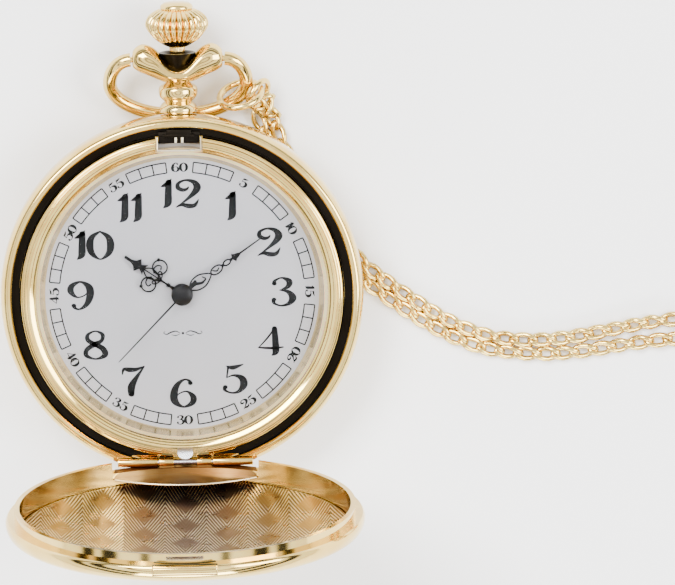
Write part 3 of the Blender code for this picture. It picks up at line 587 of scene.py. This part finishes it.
def make_case(shiny, dark):
    outer = back_profile()
    inner = [(r - 0.5, z + 0.8) for r, z in outer[:-2]]
    rim = [(20.9, BAND_Z0 - 0.1), (21.7, BAND_Z0 - 0.1)]
    finish("back_cover", lathe([(0, 0.8)] + inner + rim + outer[::-1] + [(0, 0)]), shiny, "case",
           30, ("case_back",))

    side = soften([(22.35, 10.2), (22.9, 10.14), (23.33, 9.68), (23.55, 8.8), (23.6, 7.4), (23.5, 6.0),
                   (23.1, 5.0), (22.4, BAND_Z0)], per_span=5)
    profile = [(RECESS_R, 10.05)] + side + [(21.2, BAND_Z0), (BORE_R, BAND_Z0 + 0.1), (BORE_R, RECESS_Z),
                                            (RECESS_R, RECESS_Z)]
    band = finish("case_band", lathe(profile), shiny, "case", 30, ("case_middle",))
    carved(band, ("DIFFERENCE", block((-HINGE_CUT, -26, 8.7), (HINGE_CUT, -21.1, 12))),
           ("DIFFERENCE", block((-HINGE_CUT, -26, 7.4), (HINGE_CUT, -22.25, 12))),
           *knuckles(CASE_KNUCKLES, (-22.2, 8.4), (-21.4, HINGE_Z)))

    crest = soften([(19.0, 10.2), (19.25, 10.42), (19.7, 10.62), (20.1, 10.72)], per_span=5)
    crest += [(20.14, 10.6), (20.22, 10.6)]
    crest += soften([(20.26, 10.72), (20.4, 10.74), (20.54, 10.66)], per_span=3)
    crest += [(20.58, 10.5), (20.66, 10.5)]
    crest += soften([(20.7, 10.62), (20.9, 10.5), (21.05, 10.2), (21.1, 9.9)], per_span=4)
    seat = [(21.1, RECESS_Z + 0.05), (19.5, RECESS_Z + 0.05), (19.5, 10.1), (19.0, 10.1)]
    bezel = finish("bezel_ring", lathe(crest + seat), shiny, "case", 30, ("bezel",))
    carved(bezel, ("DIFFERENCE", block((-3.05, 18.9, 7), (3.05, 23, 12))),
           ("DIFFERENCE", block((-3.05, -23, 7), (3.05, -19.75, 12))))

    groove = [(22.18, 9.2), (22.18, RECESS_Z + 0.01), (21.12, RECESS_Z + 0.01), (21.12, 9.2),
              (21.14, RECESS_Z + 0.04), (22.15, RECESS_Z + 0.04)]
    # The recess floor is coloured near-black: painted shade.
    shadow = finish("recess_floor", lathe(groove), dark, "case", 30, ())
    carved(shadow, ("DIFFERENCE", block((-HINGE_CUT, -26, 8.2), (HINGE_CUT, -21.05, 12))))


def make_dial_ring(look):
    profile = [(17.8, DIAL_TOP + 0.05), (18.0, 7.9), (18.25, 8.5), (18.42, 9.05), (18.5, 9.38),
               (19.4, 9.38), (19.4, DIAL_TOP + 0.05)]
    finish("rehaut", lathe(profile), look, "case", 30, ("dial_ring",))


def make_lid(shiny, engraved, dark):
    place = lid_place()
    dome = soften([(0, 15.1), (6.5, 14.93), (12.5, 14.42), (17.5, 13.65), (20.8, 12.98), (22.2, 12.5),
                   (22.9, 11.95), (23.2, 11.2), (23.18, 10.6), (22.95, LID_Z0)], per_span=5)
    inside = [(22.05, LID_Z0), (22.05, 9.0), (21.4, 9.0), (21.4, 12.35), (17.5, 13.1), (12.5, 13.8),
              (6.5, 14.35), (0, 14.5)]
    lid = finish("lid_cover", lathe(dome + inside), shiny, None, 30)
    lip = block((-4.25, 22.2, LID_Z0 + 0.02), (4.25, 23.7, 11.3), 0.28)
    steps = [("DIFFERENCE", block((-9.5, -23, 8), (9.5, -15, LID_Z0 + 0.02))),
             ("DIFFERENCE", block((-2.4, 20, 9.28), (2.4, 22.3, 9.8))),
             ("UNION", lip)]
    carved(lid, *steps, *knuckles(LID_KNUCKLES, (HINGE_Y - 0.5, HINGE_Z), (HINGE_Y + 0.45, HINGE_Z + 1.2)))
    lid.data.transform(place)
    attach(lid, "lid")
    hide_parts("lid_shell")

    # Two near-black lines on the lid's lip: painted shade.
    lines = merge(block((-4.2, 22.5, 11.28), (4.2, 23.4, 11.42), place=place),
                  block((-4.2, 22.15, LID_Z0 - 0.05), (4.2, 22.6, LID_Z0 + 0.05), place=place))
    finish("lid_lip_lines", lines, dark, "lid", 30, ())

    edge = [(21.1, 12.25), (21.25, 12.05), (20.9, 11.95)]
    back = [(0, 14.4), (6.5, 14.25), (12.5, 13.7), (17.5, 13.0)]
    front = soften([(20.9, 11.95), (17.5, 12.7), (12.5, 13.42), (6.5, 13.97), (0, 14.12)], per_span=6)
    lining = lathe(back + edge + front[1:])
    layer = lining.loops.layers.uv.new("turned")
    for face in lining.faces:
        for loop in face.loops:
            loop[layer].uv = (loop.vert.co.x / MM, loop.vert.co.y / MM)
    bmesh.ops.transform(lining, matrix=place, verts=lining.verts)
    finish("lid_engraving", lining, engraved, "lid", 30, ("lid_lining",))


# Pendant, crown and bow

def along_y(y, z=PENDANT_Z):
    """From a piece turned about Z to one turned about the pendant's axis, starting at y."""
    return Matrix.Translation(Vector((0, y, z)) * MM) @ Matrix.Rotation(math.radians(-90), 4, "X")


def make_pendant(shiny, dark):
    shape = [(-5.85, 0.8, -0.85, 0.8), (-5.75, 1.2, -1.1, 1.1), (-5.35, 1.65, -1.4, 1.4),
             (-4.8, 1.95, -1.7, 1.6), (-4.2, 2.0, -1.95, 1.75), (-3.2, 1.6, -2.4, 1.9),
             (-2.2, 0.7, -2.85, 2.1), (-1.1, -0.5, -3.1, 2.25)]
    shape = soften(shape + [(0, -0.9, -3.15, 2.3)] + [(-x, *rest) for x, *rest in shape[::-1]], per_span=4)
    saddle = bmesh.new()
    loops, count = [], 48
    for x, top, bottom, depth in shape:
        middle, half = PIVOT_Y + (top + bottom) / 2, (top - bottom) / 2
        turn = [2 * math.pi * i / count for i in range(count)]
        loops.append([saddle.verts.new(Vector((x, middle + half * math.cos(a),
                                               PENDANT_Z + depth * math.sin(a))) * MM)
                      for a in turn])
    skin(saddle, loops)
    head = finish("pendant_head", saddle, shiny, None, 40)
    beads = [(0, -1.6), (1.3, -1.6)]
    beads += soften([(1.3, -2.7), (1.75, -3.15), (2.4, -3.6), (2.54, -4.25), (2.4, -4.9), (1.9, -5.4)],
                    per_span=4)
    beads += soften([(1.8, -5.55), (2.2, -5.9), (2.47, -6.4), (2.42, -6.9)], per_span=4) + [(0, -6.9)]
    bore = lathe([(0, 2.0), (1.15, 2.0), (1.15, -0.5), (0, -0.5)], 64, along_y(PIVOT_Y))
    carved(head, ("UNION", lathe(beads, 96, along_y(PIVOT_Y))), ("DIFFERENCE", bore))
    shade(head.data, 50)
    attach(head, "case")
    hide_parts("pendant")
    # The crown's collar is near-black: painted reflection of dark surroundings.
    flare = soften([(2.35, 0.85), (2.05, 0.3), (1.6, -0.5), (1.3, -1.25)], per_span=4)
    collar = [(1.2, 0.3), (1.6, 0.7), (2.1, 0.9)] + flare + [(1.18, -1.25)]
    finish("crown_collar", lathe(collar, 96, along_y(PIVOT_Y)), dark, "case", 40, ())


def bow_path(steps=24):
    """The bow's middle line, from one pivot round to the other."""
    side = []
    for i in range(steps // 2):
        a = math.radians(90 * i / (steps // 2))
        x = BOW_NARROW + (BOW_HALF - BOW_NARROW) * math.sin(a)
        side.append((x, BOW_SHOULDER - (BOW_SHOULDER - 0.05) * math.cos(a), 0))
    for i in range(steps):
        a = math.radians(90 * i / steps)
        side.append((BOW_HALF * math.cos(a), BOW_SHOULDER + (BOW_REACH - BOW_SHOULDER) * math.sin(a), 0))
    return side + [(0, BOW_REACH, 0)] + [(-x, y, z) for x, y, z in reversed(side)]


def make_bow(shiny):
    wire = sweep(bow_path(), BOW_WIRE_R, 24)
    pins = [bar((sign * 4.8, 0, 0), (sign * 6.4, 0, 0), 0.4) for sign in (-1, 1)]
    whole = merge(wire, *pins)
    turn = Matrix.Rotation(math.radians(BOW_REST), 4, "X")
    place = Matrix.Translation(Vector((0, PIVOT_Y, PENDANT_Z)) * MM) @ turn
    bmesh.ops.transform(whole, matrix=place, verts=whole.verts)
    finish("bow_wire", whole, shiny, "bow", 45, ("bow",))


def make_crown(shiny):
    """Fluted onion crown, with rounded ribs that fade towards its button."""
    outline = soften([(1.05, 1.6), (1.75, 1.9), (2.7, 2.5), (3.45, 3.3), (4.0, 4.1), (4.12, 4.75),
                      (3.75, 5.6), (3.0, 6.2), (2.4, 6.5)], per_span=4)
    rings = [(1.0, 0.25, 0), (1.0, 0.9, 0), (1.05, 1.35, 0)] + [(r, h, 1) for r, h in outline]
    rings += [(2.0, 6.52, 0), (2.1, 6.6, 0), (2.14, 6.85, 0), (2.0, 7.15, 0), (1.6, 7.4, 0), (0.8, 7.54, 0)]
    bm = bmesh.new()
    loops, count = [], FLUTES * 10
    for radius, height, fluted in rings:
        loop = []
        for i in range(count):
            a = 2 * math.pi * i / count
            rib = abs(math.sin(a * FLUTES / 2)) ** 0.6
            r = radius * (1 - FLUTE_DEPTH * (1 - rib)) if fluted else radius
            loop.append(bm.verts.new(Vector((r * math.cos(a), PIVOT_Y + height,
                                             PENDANT_Z + r * math.sin(a))) * MM))
        loops.append(loop)
    skin(bm, loops)
    finish("crown_knob", bm, shiny, "crown_stem", 55, ("crown",))


def circle_wire(centre, normal, major, minor, steps=48, sides=14):
    normal = Vector(normal).normalized()
    side = normal.orthogonal().normalized()
    other = normal.cross(side)
    turn = [2 * math.pi * i / steps for i in range(steps)]
    path = [Vector(centre) + major * (math.cos(a) * side + math.sin(a) * other) for a in turn]
    return sweep(path, minor, sides, cyclic=True)


def make_bunch(look):
    """Loose links that gather where the chain meets its ring."""
    shake = random.Random(5)
    bm = bmesh.new()
    path = [(9.6, 24.6, 2.6), (10.6, 23.9, 2.2), (11.5, 24.4, 1.9), (11.2, 23.0, 1.7), (12.2, 22.6, 1.4)]
    for a, b in zip(path, path[1:]):
        a, b = Vector(a), Vector(b)
        roll = shake.uniform(-0.7, 0.7)
        link_mesh(bm, (a + b) / 2, (b - a).normalized(), Vector((0.2, 0.1, 1)), 3.0, LINK_WIDTH,
                  LINK_WIRE_R, math.radians(45), roll)
    finish("chain_top_links", bm, look, "case", 60, ())


def make_rings(shiny):
    rings = [("bow_loop", "bow_ring", (8.07, 25.48, 4.18), (-0.208, 0.866, 0.455), 2.75, 0.45),
             ("link_loop", "link_ring", (10.45, 25.46, 3.57), (0.785, -0.39, 0.482), 1.9, 0.4)]
    for name, node, centre, normal, major, minor in rings:
        wire = circle_wire(centre, normal, major, minor)
        finish(name, wire, shiny, "bow_links", 60, (node,))


# Dial print. Each digit is drawn by pen strokes of (x, y, half width), one unit high.

CURL_SIX = [
    (0.56, 0.86, 0.055), (0.52, 0.95, 0.035), (0.38, 0.99, 0.028), (0.18, 0.82, 0.06), (0.07, 0.5, 0.085),
    (0.10, 0.2, 0.08), (0.34, 0.01, 0.03), (0.60, 0.14, 0.065), (0.64, 0.36, 0.07), (0.46, 0.56, 0.025),
    (0.24, 0.5, 0.018), (0.15, 0.38, 0.012),
]
DIGITS = {
    "0": [[(0.36, 1.0, 0.022), (0.12, 0.8, 0.065), (0.05, 0.5, 0.085), (0.12, 0.2, 0.065),
           (0.36, 0.0, 0.022), (0.60, 0.2, 0.065), (0.67, 0.5, 0.085), (0.60, 0.8, 0.065),
           (0.36, 1.0, 0.022)]],
    "1": [[(0.0, 0.77, 0.012), (0.14, 0.84, 0.05), (0.31, 1.03, 0.015)],
          [(0.235, 0.93, 0.07), (0.22, 0.5, 0.08), (0.2, 0.16, 0.078), (0.06, 0.0, 0.01)]],
    "2": [[(0.43, 0.76, 0.012), (0.37, 0.67, 0.035), (0.24, 0.64, 0.05), (0.11, 0.73, 0.055),
           (0.13, 0.89, 0.04), (0.34, 0.99, 0.03), (0.58, 0.92, 0.06), (0.68, 0.74, 0.085),
           (0.60, 0.55, 0.07), (0.38, 0.31, 0.035), (0.06, 0.02, 0.012)],
          [(0.04, 0.02, 0.012), (0.22, 0.11, 0.045), (0.42, 0.06, 0.065), (0.60, 0.09, 0.05),
           (0.72, 0.3, 0.01)]],
    "3": [[(0.12, 0.8, 0.055), (0.14, 0.9, 0.035), (0.34, 1.0, 0.025), (0.56, 0.88, 0.07),
           (0.52, 0.68, 0.055), (0.30, 0.56, 0.015)],
          [(0.28, 0.56, 0.015), (0.52, 0.5, 0.05), (0.66, 0.28, 0.085), (0.54, 0.07, 0.05),
           (0.30, 0.0, 0.025), (0.10, 0.1, 0.035), (0.10, 0.22, 0.055)]],
    "4": [[(0.52, 1.02, 0.02), (0.30, 0.66, 0.022), (0.03, 0.31, 0.012)],
          [(0.02, 0.3, 0.02), (0.4, 0.27, 0.035), (0.74, 0.3, 0.02)],
          [(0.50, 0.98, 0.06), (0.52, 0.5, 0.075), (0.52, 0.14, 0.075), (0.40, 0.0, 0.01)]],
    "5": [[(0.16, 0.96, 0.02), (0.34, 0.91, 0.06), (0.64, 1.02, 0.015)],
          [(0.20, 0.95, 0.025), (0.15, 0.56, 0.018)],
          [(0.15, 0.55, 0.012), (0.36, 0.63, 0.03), (0.60, 0.52, 0.075), (0.65, 0.28, 0.085),
           (0.50, 0.05, 0.045), (0.28, 0.0, 0.025), (0.09, 0.1, 0.035), (0.10, 0.21, 0.055)]],
    "6": [CURL_SIX],
    "7": [[(0.04, 0.72, 0.01), (0.09, 0.92, 0.04), (0.26, 0.9, 0.065), (0.46, 0.91, 0.05),
           (0.70, 1.02, 0.015)],
          [(0.69, 1.0, 0.015), (0.46, 0.62, 0.05), (0.31, 0.3, 0.085), (0.30, 0.02, 0.07)]],
    "8": [[(0.34, 0.53, 0.06), (0.14, 0.68, 0.055), (0.14, 0.88, 0.04), (0.36, 1.0, 0.022),
           (0.57, 0.88, 0.045), (0.54, 0.66, 0.045), (0.34, 0.53, 0.065), (0.10, 0.34, 0.055),
           (0.09, 0.12, 0.05), (0.36, 0.0, 0.025), (0.63, 0.13, 0.065), (0.58, 0.36, 0.07),
           (0.34, 0.53, 0.06)]],
    "9": [[(0.70 - x, 1.0 - y, w) for x, y, w in CURL_SIX]],
}
NARROW_DIGIT, WIDE_DIGIT = 0.40, 0.80


def pen(bm, stroke, place, per_span=6):
    """A flat ribbon along a stroke, with round ends. place turns a 2-D point into millimetres."""
    points = soften(stroke, per_span=per_span)
    sides = []
    for i, (x, y, w) in enumerate(points):
        before, after = points[max(i - 1, 0)], points[min(i + 1, len(points) - 1)]
        dx, dy = after[0] - before[0], after[1] - before[1]
        length = math.hypot(dx, dy) or 1.0
        nx, ny = -dy / length * w, dx / length * w
        sides.append((place(x + nx, y + ny), place(x - nx, y - ny)))
    rows = [(bm.verts.new(Vector(a) * MM), bm.verts.new(Vector(b) * MM)) for a, b in sides]
    for (a, b), (c, d) in zip(rows, rows[1:]):
        bm.faces.new((a, b, d, c))
    for x, y, w in (points[0], points[-1]):
        if w > 0.02:
            dot(bm, x, y, w, place)


def dot(bm, x, y, radius, place, steps=16):
    turn = [2 * math.pi * i / steps for i in range(steps)]
    bm.faces.new([bm.verts.new(Vector(place(x + radius * math.cos(a),
                                            y + radius * math.sin(a))) * MM) for a in turn])


def write_number(bm, text, centre, height, turn=0.0, squeeze=1.2, bold=1.35):
    """A number centred on a point of the dial, turned clockwise. bold widens the strokes."""
    widths = [NARROW_DIGIT if c == "1" else WIDE_DIGIT for c in text]
    c, s = math.cos(math.radians(-turn)), math.sin(math.radians(-turn))
    pen_x = -sum(widths) / 2
    for digit, width in zip(text, widths):
        for stroke in DIGITS[digit]:
            def place(x, y, offset=pen_x):
                u, v = (x + offset + 0.03) * height * squeeze, (y - 0.5) * height
                return (centre[0] + u * c - v * s, centre[1] + u * s + v * c, PRINT_Z)
            pen(bm, [(x, y, w * bold) for x, y, w in stroke], place)
        pen_x += width


def clock(radius, degrees):
    a = math.radians(degrees)
    return radius * math.sin(a), radius * math.cos(a)


def arc_band(bm, radius, half, start, end):
    """A printed arc between two clock angles."""
    steps = max(2, int(abs(end - start) / 2))
    rows = []
    for i in range(steps + 1):
        a = start + (end - start) * i / steps
        rows.append([bm.verts.new(Vector((*clock(r, a), RAIL_Z)) * MM)
                     for r in (radius - half, radius + half)])
    for (a, b), (c, d) in zip(rows, rows[1:]):
        bm.faces.new((a, b, d, c))


def spoke(bm, inner, outer, half, degrees):
    """A printed radial line at a clock angle."""
    a = math.radians(degrees)
    out, side = Vector((math.sin(a), math.cos(a))), Vector((math.cos(a), -math.sin(a)))
    reach = ((inner, -half), (inner, half), (outer, half), (outer, -half))
    corners = [out * r + side * w for r, w in reach]
    bm.faces.new([bm.verts.new(Vector((p.x, p.y, RAIL_Z)) * MM) for p in corners])


def make_dial_print(ink):
    bm = bmesh.new()
    for hour in range(1, 13):
        write_number(bm, str(hour), clock(HOUR_NUMBERS_R, 30 * hour), 3.65)
    for five in range(1, 13):
        upright = five in (6, 12)
        turn = 0 if upright else turned_label(five)
        write_number(bm, str(5 * five), clock(MINUTE_NUMBERS_R, 30 * five), 1.15, turn, 1.15, 1.7)
        start = 30 * five + 6
        for radius in RAIL_RADII:
            arc_band(bm, radius, RAIL_HALF, start, start + 18)
        for k in range(4):
            spoke(bm, *RAIL_RADII, RAIL_HALF, start + 6 * k)
    fleuron(bm)
    finish("dial_print", bm, ink, "case", 30, ())


def turned_label(five):
    """How far the minute label at 5 * five minutes is turned clockwise, to stand on its radius."""
    degrees = 30 * five
    return degrees - 180 if 90 < degrees < 270 else degrees


def fleuron(bm):
    """A plain scroll ornament below the hands."""
    def place(x, y):
        return x, y - 5.2, PRINT_Z
    strokes = [[(0.35, 0.0, 0.03), (0.9, 0.28, 0.07), (1.6, 0.12, 0.09), (2.1, -0.12, 0.07),
                (2.5, 0.05, 0.04), (2.35, 0.25, 0.05)],
               [(0.4, -0.1, 0.03), (1.0, -0.3, 0.06), (1.5, -0.15, 0.02)]]
    for sign in (-1, 1):
        for stroke in strokes:
            pen(bm, [(sign * x, y, w) for x, y, w in stroke], place)
    dot(bm, 0, 0, 0.17, place)


# Hands, drawn along +Y and turned to their time

def hand_piece(name, bm, angle, z, thickness, look, body, node):
    """Give flat shapes their thickness, turn them and put them on their arbor."""
    faces = bm.faces[:]
    lifted = bmesh.ops.extrude_face_region(bm, geom=faces)
    up = [v for v in lifted["geom"] if isinstance(v, bmesh.types.BMVert)]
    bmesh.ops.translate(bm, vec=(0, 0, thickness * MM), verts=up)
    turn = Matrix.Rotation(math.radians(-angle), 4, "Z")
    place = Matrix.Translation((0, 0, (z - thickness / 2) * MM)) @ turn
    bmesh.ops.transform(bm, matrix=place, verts=bm.verts)
    finish(name, bm, look, body, 30, (node,))


def flat(x, y):
    return x, y, 0.0


def loop_stroke(bm, x, y, rx, ry, half, turn=0.0):
    """A closed oval ribbon."""
    c, s = math.cos(math.radians(turn)), math.sin(math.radians(turn))
    stroke = []
    for i in range(13):
        a = 2 * math.pi * i / 12
        u, v = rx * math.cos(a), ry * math.sin(a)
        stroke.append((x + u * c - v * s, y + u * s + v * c, half))
    pen(bm, stroke, flat, 3)


def outline_face(bm, half):
    """A filled shape, the same on both sides of the hand's line."""
    points = half + [(-x, y) for x, y in reversed(half) if x > 0]
    bm.faces.new([bm.verts.new(Vector((x, y, 0)) * MM) for x, y in points])


def hub(bm, radius, bore):
    loop_stroke(bm, 0, 0, (radius + bore) / 2, (radius + bore) / 2, (radius - bore) / 2)


def make_hands(look):
    hour = bmesh.new()
    hub(hour, 1.4, 1.15)
    pen(hour, [(0, 1.2, 0.3), (0, 1.8, 0.16), (0, 2.6, 0.12), (0, 3.2, 0.14)], flat)
    outline_face(hour, [(0, 1.95), (0.36, 2.0), (0.2, 2.12), (0.36, 2.3), (0, 2.35)])
    for sign in (-1, 1):
        loop_stroke(hour, sign * 1.35, 4.35, 0.95, 0.95, 0.1)
        loop_stroke(hour, sign * 0.5, 3.75, 0.52, 0.26, 0.08, sign * 35)
        pen(hour, [(sign * 0.3, 4.6, 0.08), (sign * 0.8, 4.9, 0.09), (sign * 1.35, 4.75, 0.09),
                   (sign * 1.55, 4.3, 0.08), (sign * 1.2, 4.1, 0.1)], flat)
        pen(hour, [(sign * 0.12, 3.3, 0.09), (sign * 0.55, 4.3, 0.08), (sign * 0.62, 5.2, 0.08),
                   (0, 6.1, 0.1)], flat)
        dot(hour, sign * 2.1, 5.05, 0.2, flat)
        pen(hour, [(sign * 2.1, 5.05, 0.06), (sign * 1.95, 4.95, 0.1)], flat)
    pen(hour, [(0, 3.2, 0.09), (0, 4.6, 0.07), (0, 6.1, 0.09)], flat)
    outline_face(hour, [(0, 5.75), (0.28, 5.9), (0.78, 5.75), (0.5, 6.15), (0.3, 6.5), (0.95, 6.95),
                        (0.42, 7.35), (0.2, 7.9), (0.2, 8.9), (0, 8.95)])
    hand_piece("hour_pointer", hour, HOUR_ANGLE, HOUR_HAND_Z, 0.14, look, "hours", "hour_hand")

    minute = bmesh.new()
    hub(minute, 1.3, 0.75)
    for sign in (-1, 1):
        pen(minute, [(sign * 0.15, 1.2, 0.12), (sign * 0.75, 2.1, 0.1), (sign * 0.85, 3.2, 0.1),
                     (sign * 0.4, 4.2, 0.09), (0, 4.7, 0.09)], flat)
    pen(minute, [(0.0, 1.3, 0.15), (-0.1, 2.2, 0.2), (0.25, 3.0, 0.16), (0.1, 3.7, 0.1),
                 (-0.35, 3.5, 0.07)], flat)
    loop_stroke(minute, 0, 5.55, 0.5, 0.85, 0.1)
    pen(minute, [(-0.2, 5.1, 0.08), (0.12, 5.5, 0.1), (-0.05, 5.95, 0.07)], flat)
    loop_stroke(minute, 0, 7.2, 0.32, 0.52, 0.1)
    dot(minute, 0, 6.55, 0.2, flat)
    dot(minute, 0, 7.9, 0.2, flat)
    outline_face(minute, [(0, 7.9), (0.2, 8.1), (0.62, 8.3), (0.35, 8.6), (0.3, 8.9), (0.12, 9.3),
                          (0.07, 12.6), (0, 12.65)])
    hand_piece("minute_pointer", minute, MINUTE_ANGLE, MINUTE_HAND_Z, 0.14, look, "minutes", "minute_hand")

    second = bmesh.new()
    outline_face(second, [(0, -2.7), (0.2, -2.6), (0.17, -1.0), (0.12, 1.0), (0.06, 12.0), (0, 12.05)])
    outline_face(second, [(0, -0.4), (0.4, -0.1), (0.4, 0.2), (0, 0.4)])
    cap_profile = soften([(0, 9.42), (0.5, 9.4), (0.95, 9.3), (1.28, 9.12), (1.4, 8.97)], per_span=4)
    hand_piece("second_pointer", second, SECOND_ANGLE, SECOND_HAND_Z, 0.1, look, "seconds", "second_hand")
    finish("centre_boss", lathe(cap_profile + [(1.2, 8.9), (0, 8.9)], 64), look, "seconds", 40, ())


# Catch and hinge

def make_catch(dark, bright):
    """The hook in its window, near-black as painted shade, with two guide ribs and the edge of its frame in
    pale gold as painted highlight.
    """
    hook = merge(block((-2.7, 19.95, 8.45), (2.7, 21.45, 8.9), 0.05),
                 block((-2.0, 20.8, 8.6), (2.0, 21.2, 9.72), 0.06),
                 block((-1.6, 21.0, 9.35), (1.6, 21.8, 9.7), 0.06))
    finish("catch_hook", hook, dark, "catch", 30, ("catch_spring",))
    ribs = merge(*(block((x - 0.16, 20.05, 8.7), (x + 0.16, 20.95, 9.5), 0.05) for x in (-0.42, 0.42)))
    finish("catch_ribs", ribs, bright, "catch", 30, ())
    edge = [(-2.85, 20.85), (-2.85, 19.1), (2.85, 19.1), (2.85, 20.85)]
    frame_wire = merge(*(sweep([(*a, 9.6), (*b, 9.6)], 0.13, 10) for a, b in zip(edge, edge[1:])))
    finish("catch_frame", frame_wire, bright, "case", 40, ())


def make_hinge_plate(look, bright):
    """The flange inside the lid's rim that carries its knuckles, dark red-brown as painted reflection, with
    its lower edge in pale gold as painted highlight.
    """
    half, wall, rim, bulge = 9.2, 21.45, 22.85, 2.8
    across = [half * (i / 12 - 1) for i in range(25)]

    def slab(outer, inner, low, high):
        bm = bmesh.new()
        outline = [(x, outer(x)) for x in across] + [(x, inner(x)) for x in reversed(across)]
        bm.faces.new([bm.verts.new(Vector((x, y, low)) * MM) for x, y in outline])
        lifted = bmesh.ops.extrude_face_region(bm, geom=bm.faces[:])
        top = [v for v in lifted["geom"] if isinstance(v, bmesh.types.BMVert)]
        bmesh.ops.translate(bm, vec=(0, 0, (high - low) * MM), verts=top)
        return bm

    def arc(radius):
        return lambda x: -math.sqrt(radius ** 2 - x ** 2)

    def edge(x):
        return -math.sqrt(wall ** 2 - half ** 2) + 0.3 + bulge * (1 - (x / half) ** 2)

    strip = slab(arc(rim), arc(wall - 0.05), 10.2, 10.29)
    plate = merge(strip, slab(arc(wall), edge, 11.05, 11.25))
    bmesh.ops.transform(plate, matrix=lid_place(), verts=plate.verts)
    finish("lid_flange", plate, look, "lid", 30, ())
    trim = sweep([(x, edge(x), 11.1) for x in across], 0.11, 10)
    bmesh.ops.transform(trim, matrix=lid_place(), verts=trim.verts)
    finish("lid_flange_edge", trim, bright, "lid", 60, ())


# Lights and floor

def make_stage():
    """A pale floor that runs well out of view."""
    m = Nodes("floor", (0.97, 0.97, 0.97), 0.0, 0.6)
    bm = bmesh.new()
    bmesh.ops.create_grid(bm, x_segments=1, y_segments=1, size=3.0)
    mesh = bpy.data.meshes.new("floor")
    bm.to_mesh(mesh)
    bm.free()
    mesh.materials.append(m.material)
    floor = bpy.data.objects.new("floor", mesh)
    floor.location.z = -0.00002
    bpy.context.scene.collection.objects.link(floor)


def soft_light(name, place, size, power, color=(1, 1, 1)):
    data = bpy.data.lights.new(name, "AREA")
    data.shape = "RECTANGLE"
    data.size, data.size_y = size
    data.energy = power
    data.color = color
    light = bpy.data.objects.new(name, data)
    light.location = place
    light.rotation_euler = (-Vector(place)).to_track_quat("-Z", "Y").to_euler()
    bpy.context.scene.collection.objects.link(light)


def make_light():
    world = bpy.data.worlds.new("studio")
    bpy.context.scene.world = world
    world.use_nodes = True
    tree = world.node_tree
    back = tree.nodes["Background"]
    place = tree.nodes.new("ShaderNodeTexCoord")
    split = tree.nodes.new("ShaderNodeSeparateXYZ")
    ramp = tree.nodes.new("ShaderNodeValToRGB")
    tree.links.new(place.outputs["Generated"], split.inputs[0])
    tree.links.new(split.outputs["Z"], ramp.inputs["Fac"])
    tree.links.new(ramp.outputs[0], back.inputs["Color"])
    stops = [(0.0, 0.95), (0.20, 1.0), (0.24, 0.02), (0.36, 0.02), (0.39, 0.9), (0.44, 0.9), (0.47, 0.02),
             (0.60, 0.02), (0.63, 1.0), (0.77, 1.0), (0.79, 0.1), (0.82, 0.1), (0.84, 1.0), (0.93, 1.0),
             (0.945, 0.3), (0.965, 0.3), (0.975, 0.9)]
    elements = ramp.color_ramp.elements
    while len(elements) < len(stops):
        elements.new(0.5)
    for element, (position, value) in zip(elements, stops):
        element.position = position
        element.color = (value, value, value, 1.0)
    back.inputs["Strength"].default_value = 2.6
    soft_light("key", (-0.5, 0.6, 1.1), (0.7, 0.5), 34.0)
    soft_light("fill", (0.8, 0.1, 0.8), (0.6, 0.6), 17.0)
    soft_light("front", (0.0, -0.9, 0.5), (0.9, 0.3), 13.0)


def make_cad_looks(looks):
    """Materials for the CAD nodes that stay."""
    for name, look in looks.items():
        obj = bpy.data.objects[name]
        obj.data.materials.clear()
        obj.data.materials.append(look)


def main():
    make_camera()
    polished = gold("polished_gold", 0.07)
    chain_gold = gold("chain_gold", 0.12, (0.78, 0.57, 0.18), 0.003)
    pale = gold("rehaut_gold", 0.2, (0.90, 0.72, 0.40))
    # Near-black gold: painted shade for the recess floor and the catch hook.
    dark_gold = gold("shaded_gold", 0.32, (0.012, 0.010, 0.008))
    # Dark red-brown gold: painted reflection on the lid's flange.
    flange_painted_reflection = gold("painted_reflection_brown", 0.32, (0.11, 0.035, 0.012))
    # Near-black gold: painted shade on the lid's lip lines and painted reflection on the crown's collar.
    painted_shade_black = gold("painted_shade_near_black", 0.28, (0.012, 0.010, 0.008))
    # Pale gold brighter than the case: painted highlight on the catch ribs, catch frame and the flange's
    # lower edge.
    bright = gold("painted_highlight_pale", 0.25, (1.0, 0.92, 0.72))
    engraved = engraved_gold()
    ink, lacquered = lacquer("dial_ink", roughness=0.4), lacquer("hand_lacquer")
    metal, brass = steel("brushed_steel"), gold("train_brass", 0.3, (0.72, 0.55, 0.28), 0.003)
    plastic = plain("grey_plastic", (0.62, 0.62, 0.60), 0.5)

    make_chain(chain_gold)
    make_stage()
    make_light()
    make_case(polished, dark_gold)
    make_dial_ring(pale)
    make_lid(polished, engraved, painted_shade_black)
    make_hinge_plate(flange_painted_reflection, bright)
    make_pendant(polished, painted_shade_black)
    make_bow(polished)
    make_crown(polished)
    make_rings(polished)
    make_bunch(chain_gold)
    make_dial_print(ink)
    make_hands(lacquered)
    make_catch(dark_gold, bright)

    looks = {"crystal": clear_glass(), "dial": dial_enamel(), "movement_ring": plastic,
             "battery_clamp": brass,
             "circuit_board": plain("board_green", (0.05, 0.22, 0.10), 0.45),
             "coil": plain("coil_copper", (0.72, 0.33, 0.15), 0.35, 6000.0, 0.03, 1.0)}
    steel_parts = ["hinge_pin", "lift_spring", "stem", "clutch_pinion", "setting_lever", "main_plate",
                   "train_bridge", "stator", "quartz_can", "battery", "rotor", "cannon_pinion"]
    steel_parts += [f"bridge_screw_{i}" for i in range(1, 5)]
    looks.update({name: metal for name in steel_parts})
    wheels = ("seconds_wheel", "intermediate_wheel", "third_wheel", "centre_wheel", "minute_wheel",
              "hour_wheel")
    looks.update({name: brass for name in wheels})
    looks.update({name: chain_gold for name in ("clasp_body", "clasp_lever", "clasp_ring")})
    make_cad_looks(looks)


main()
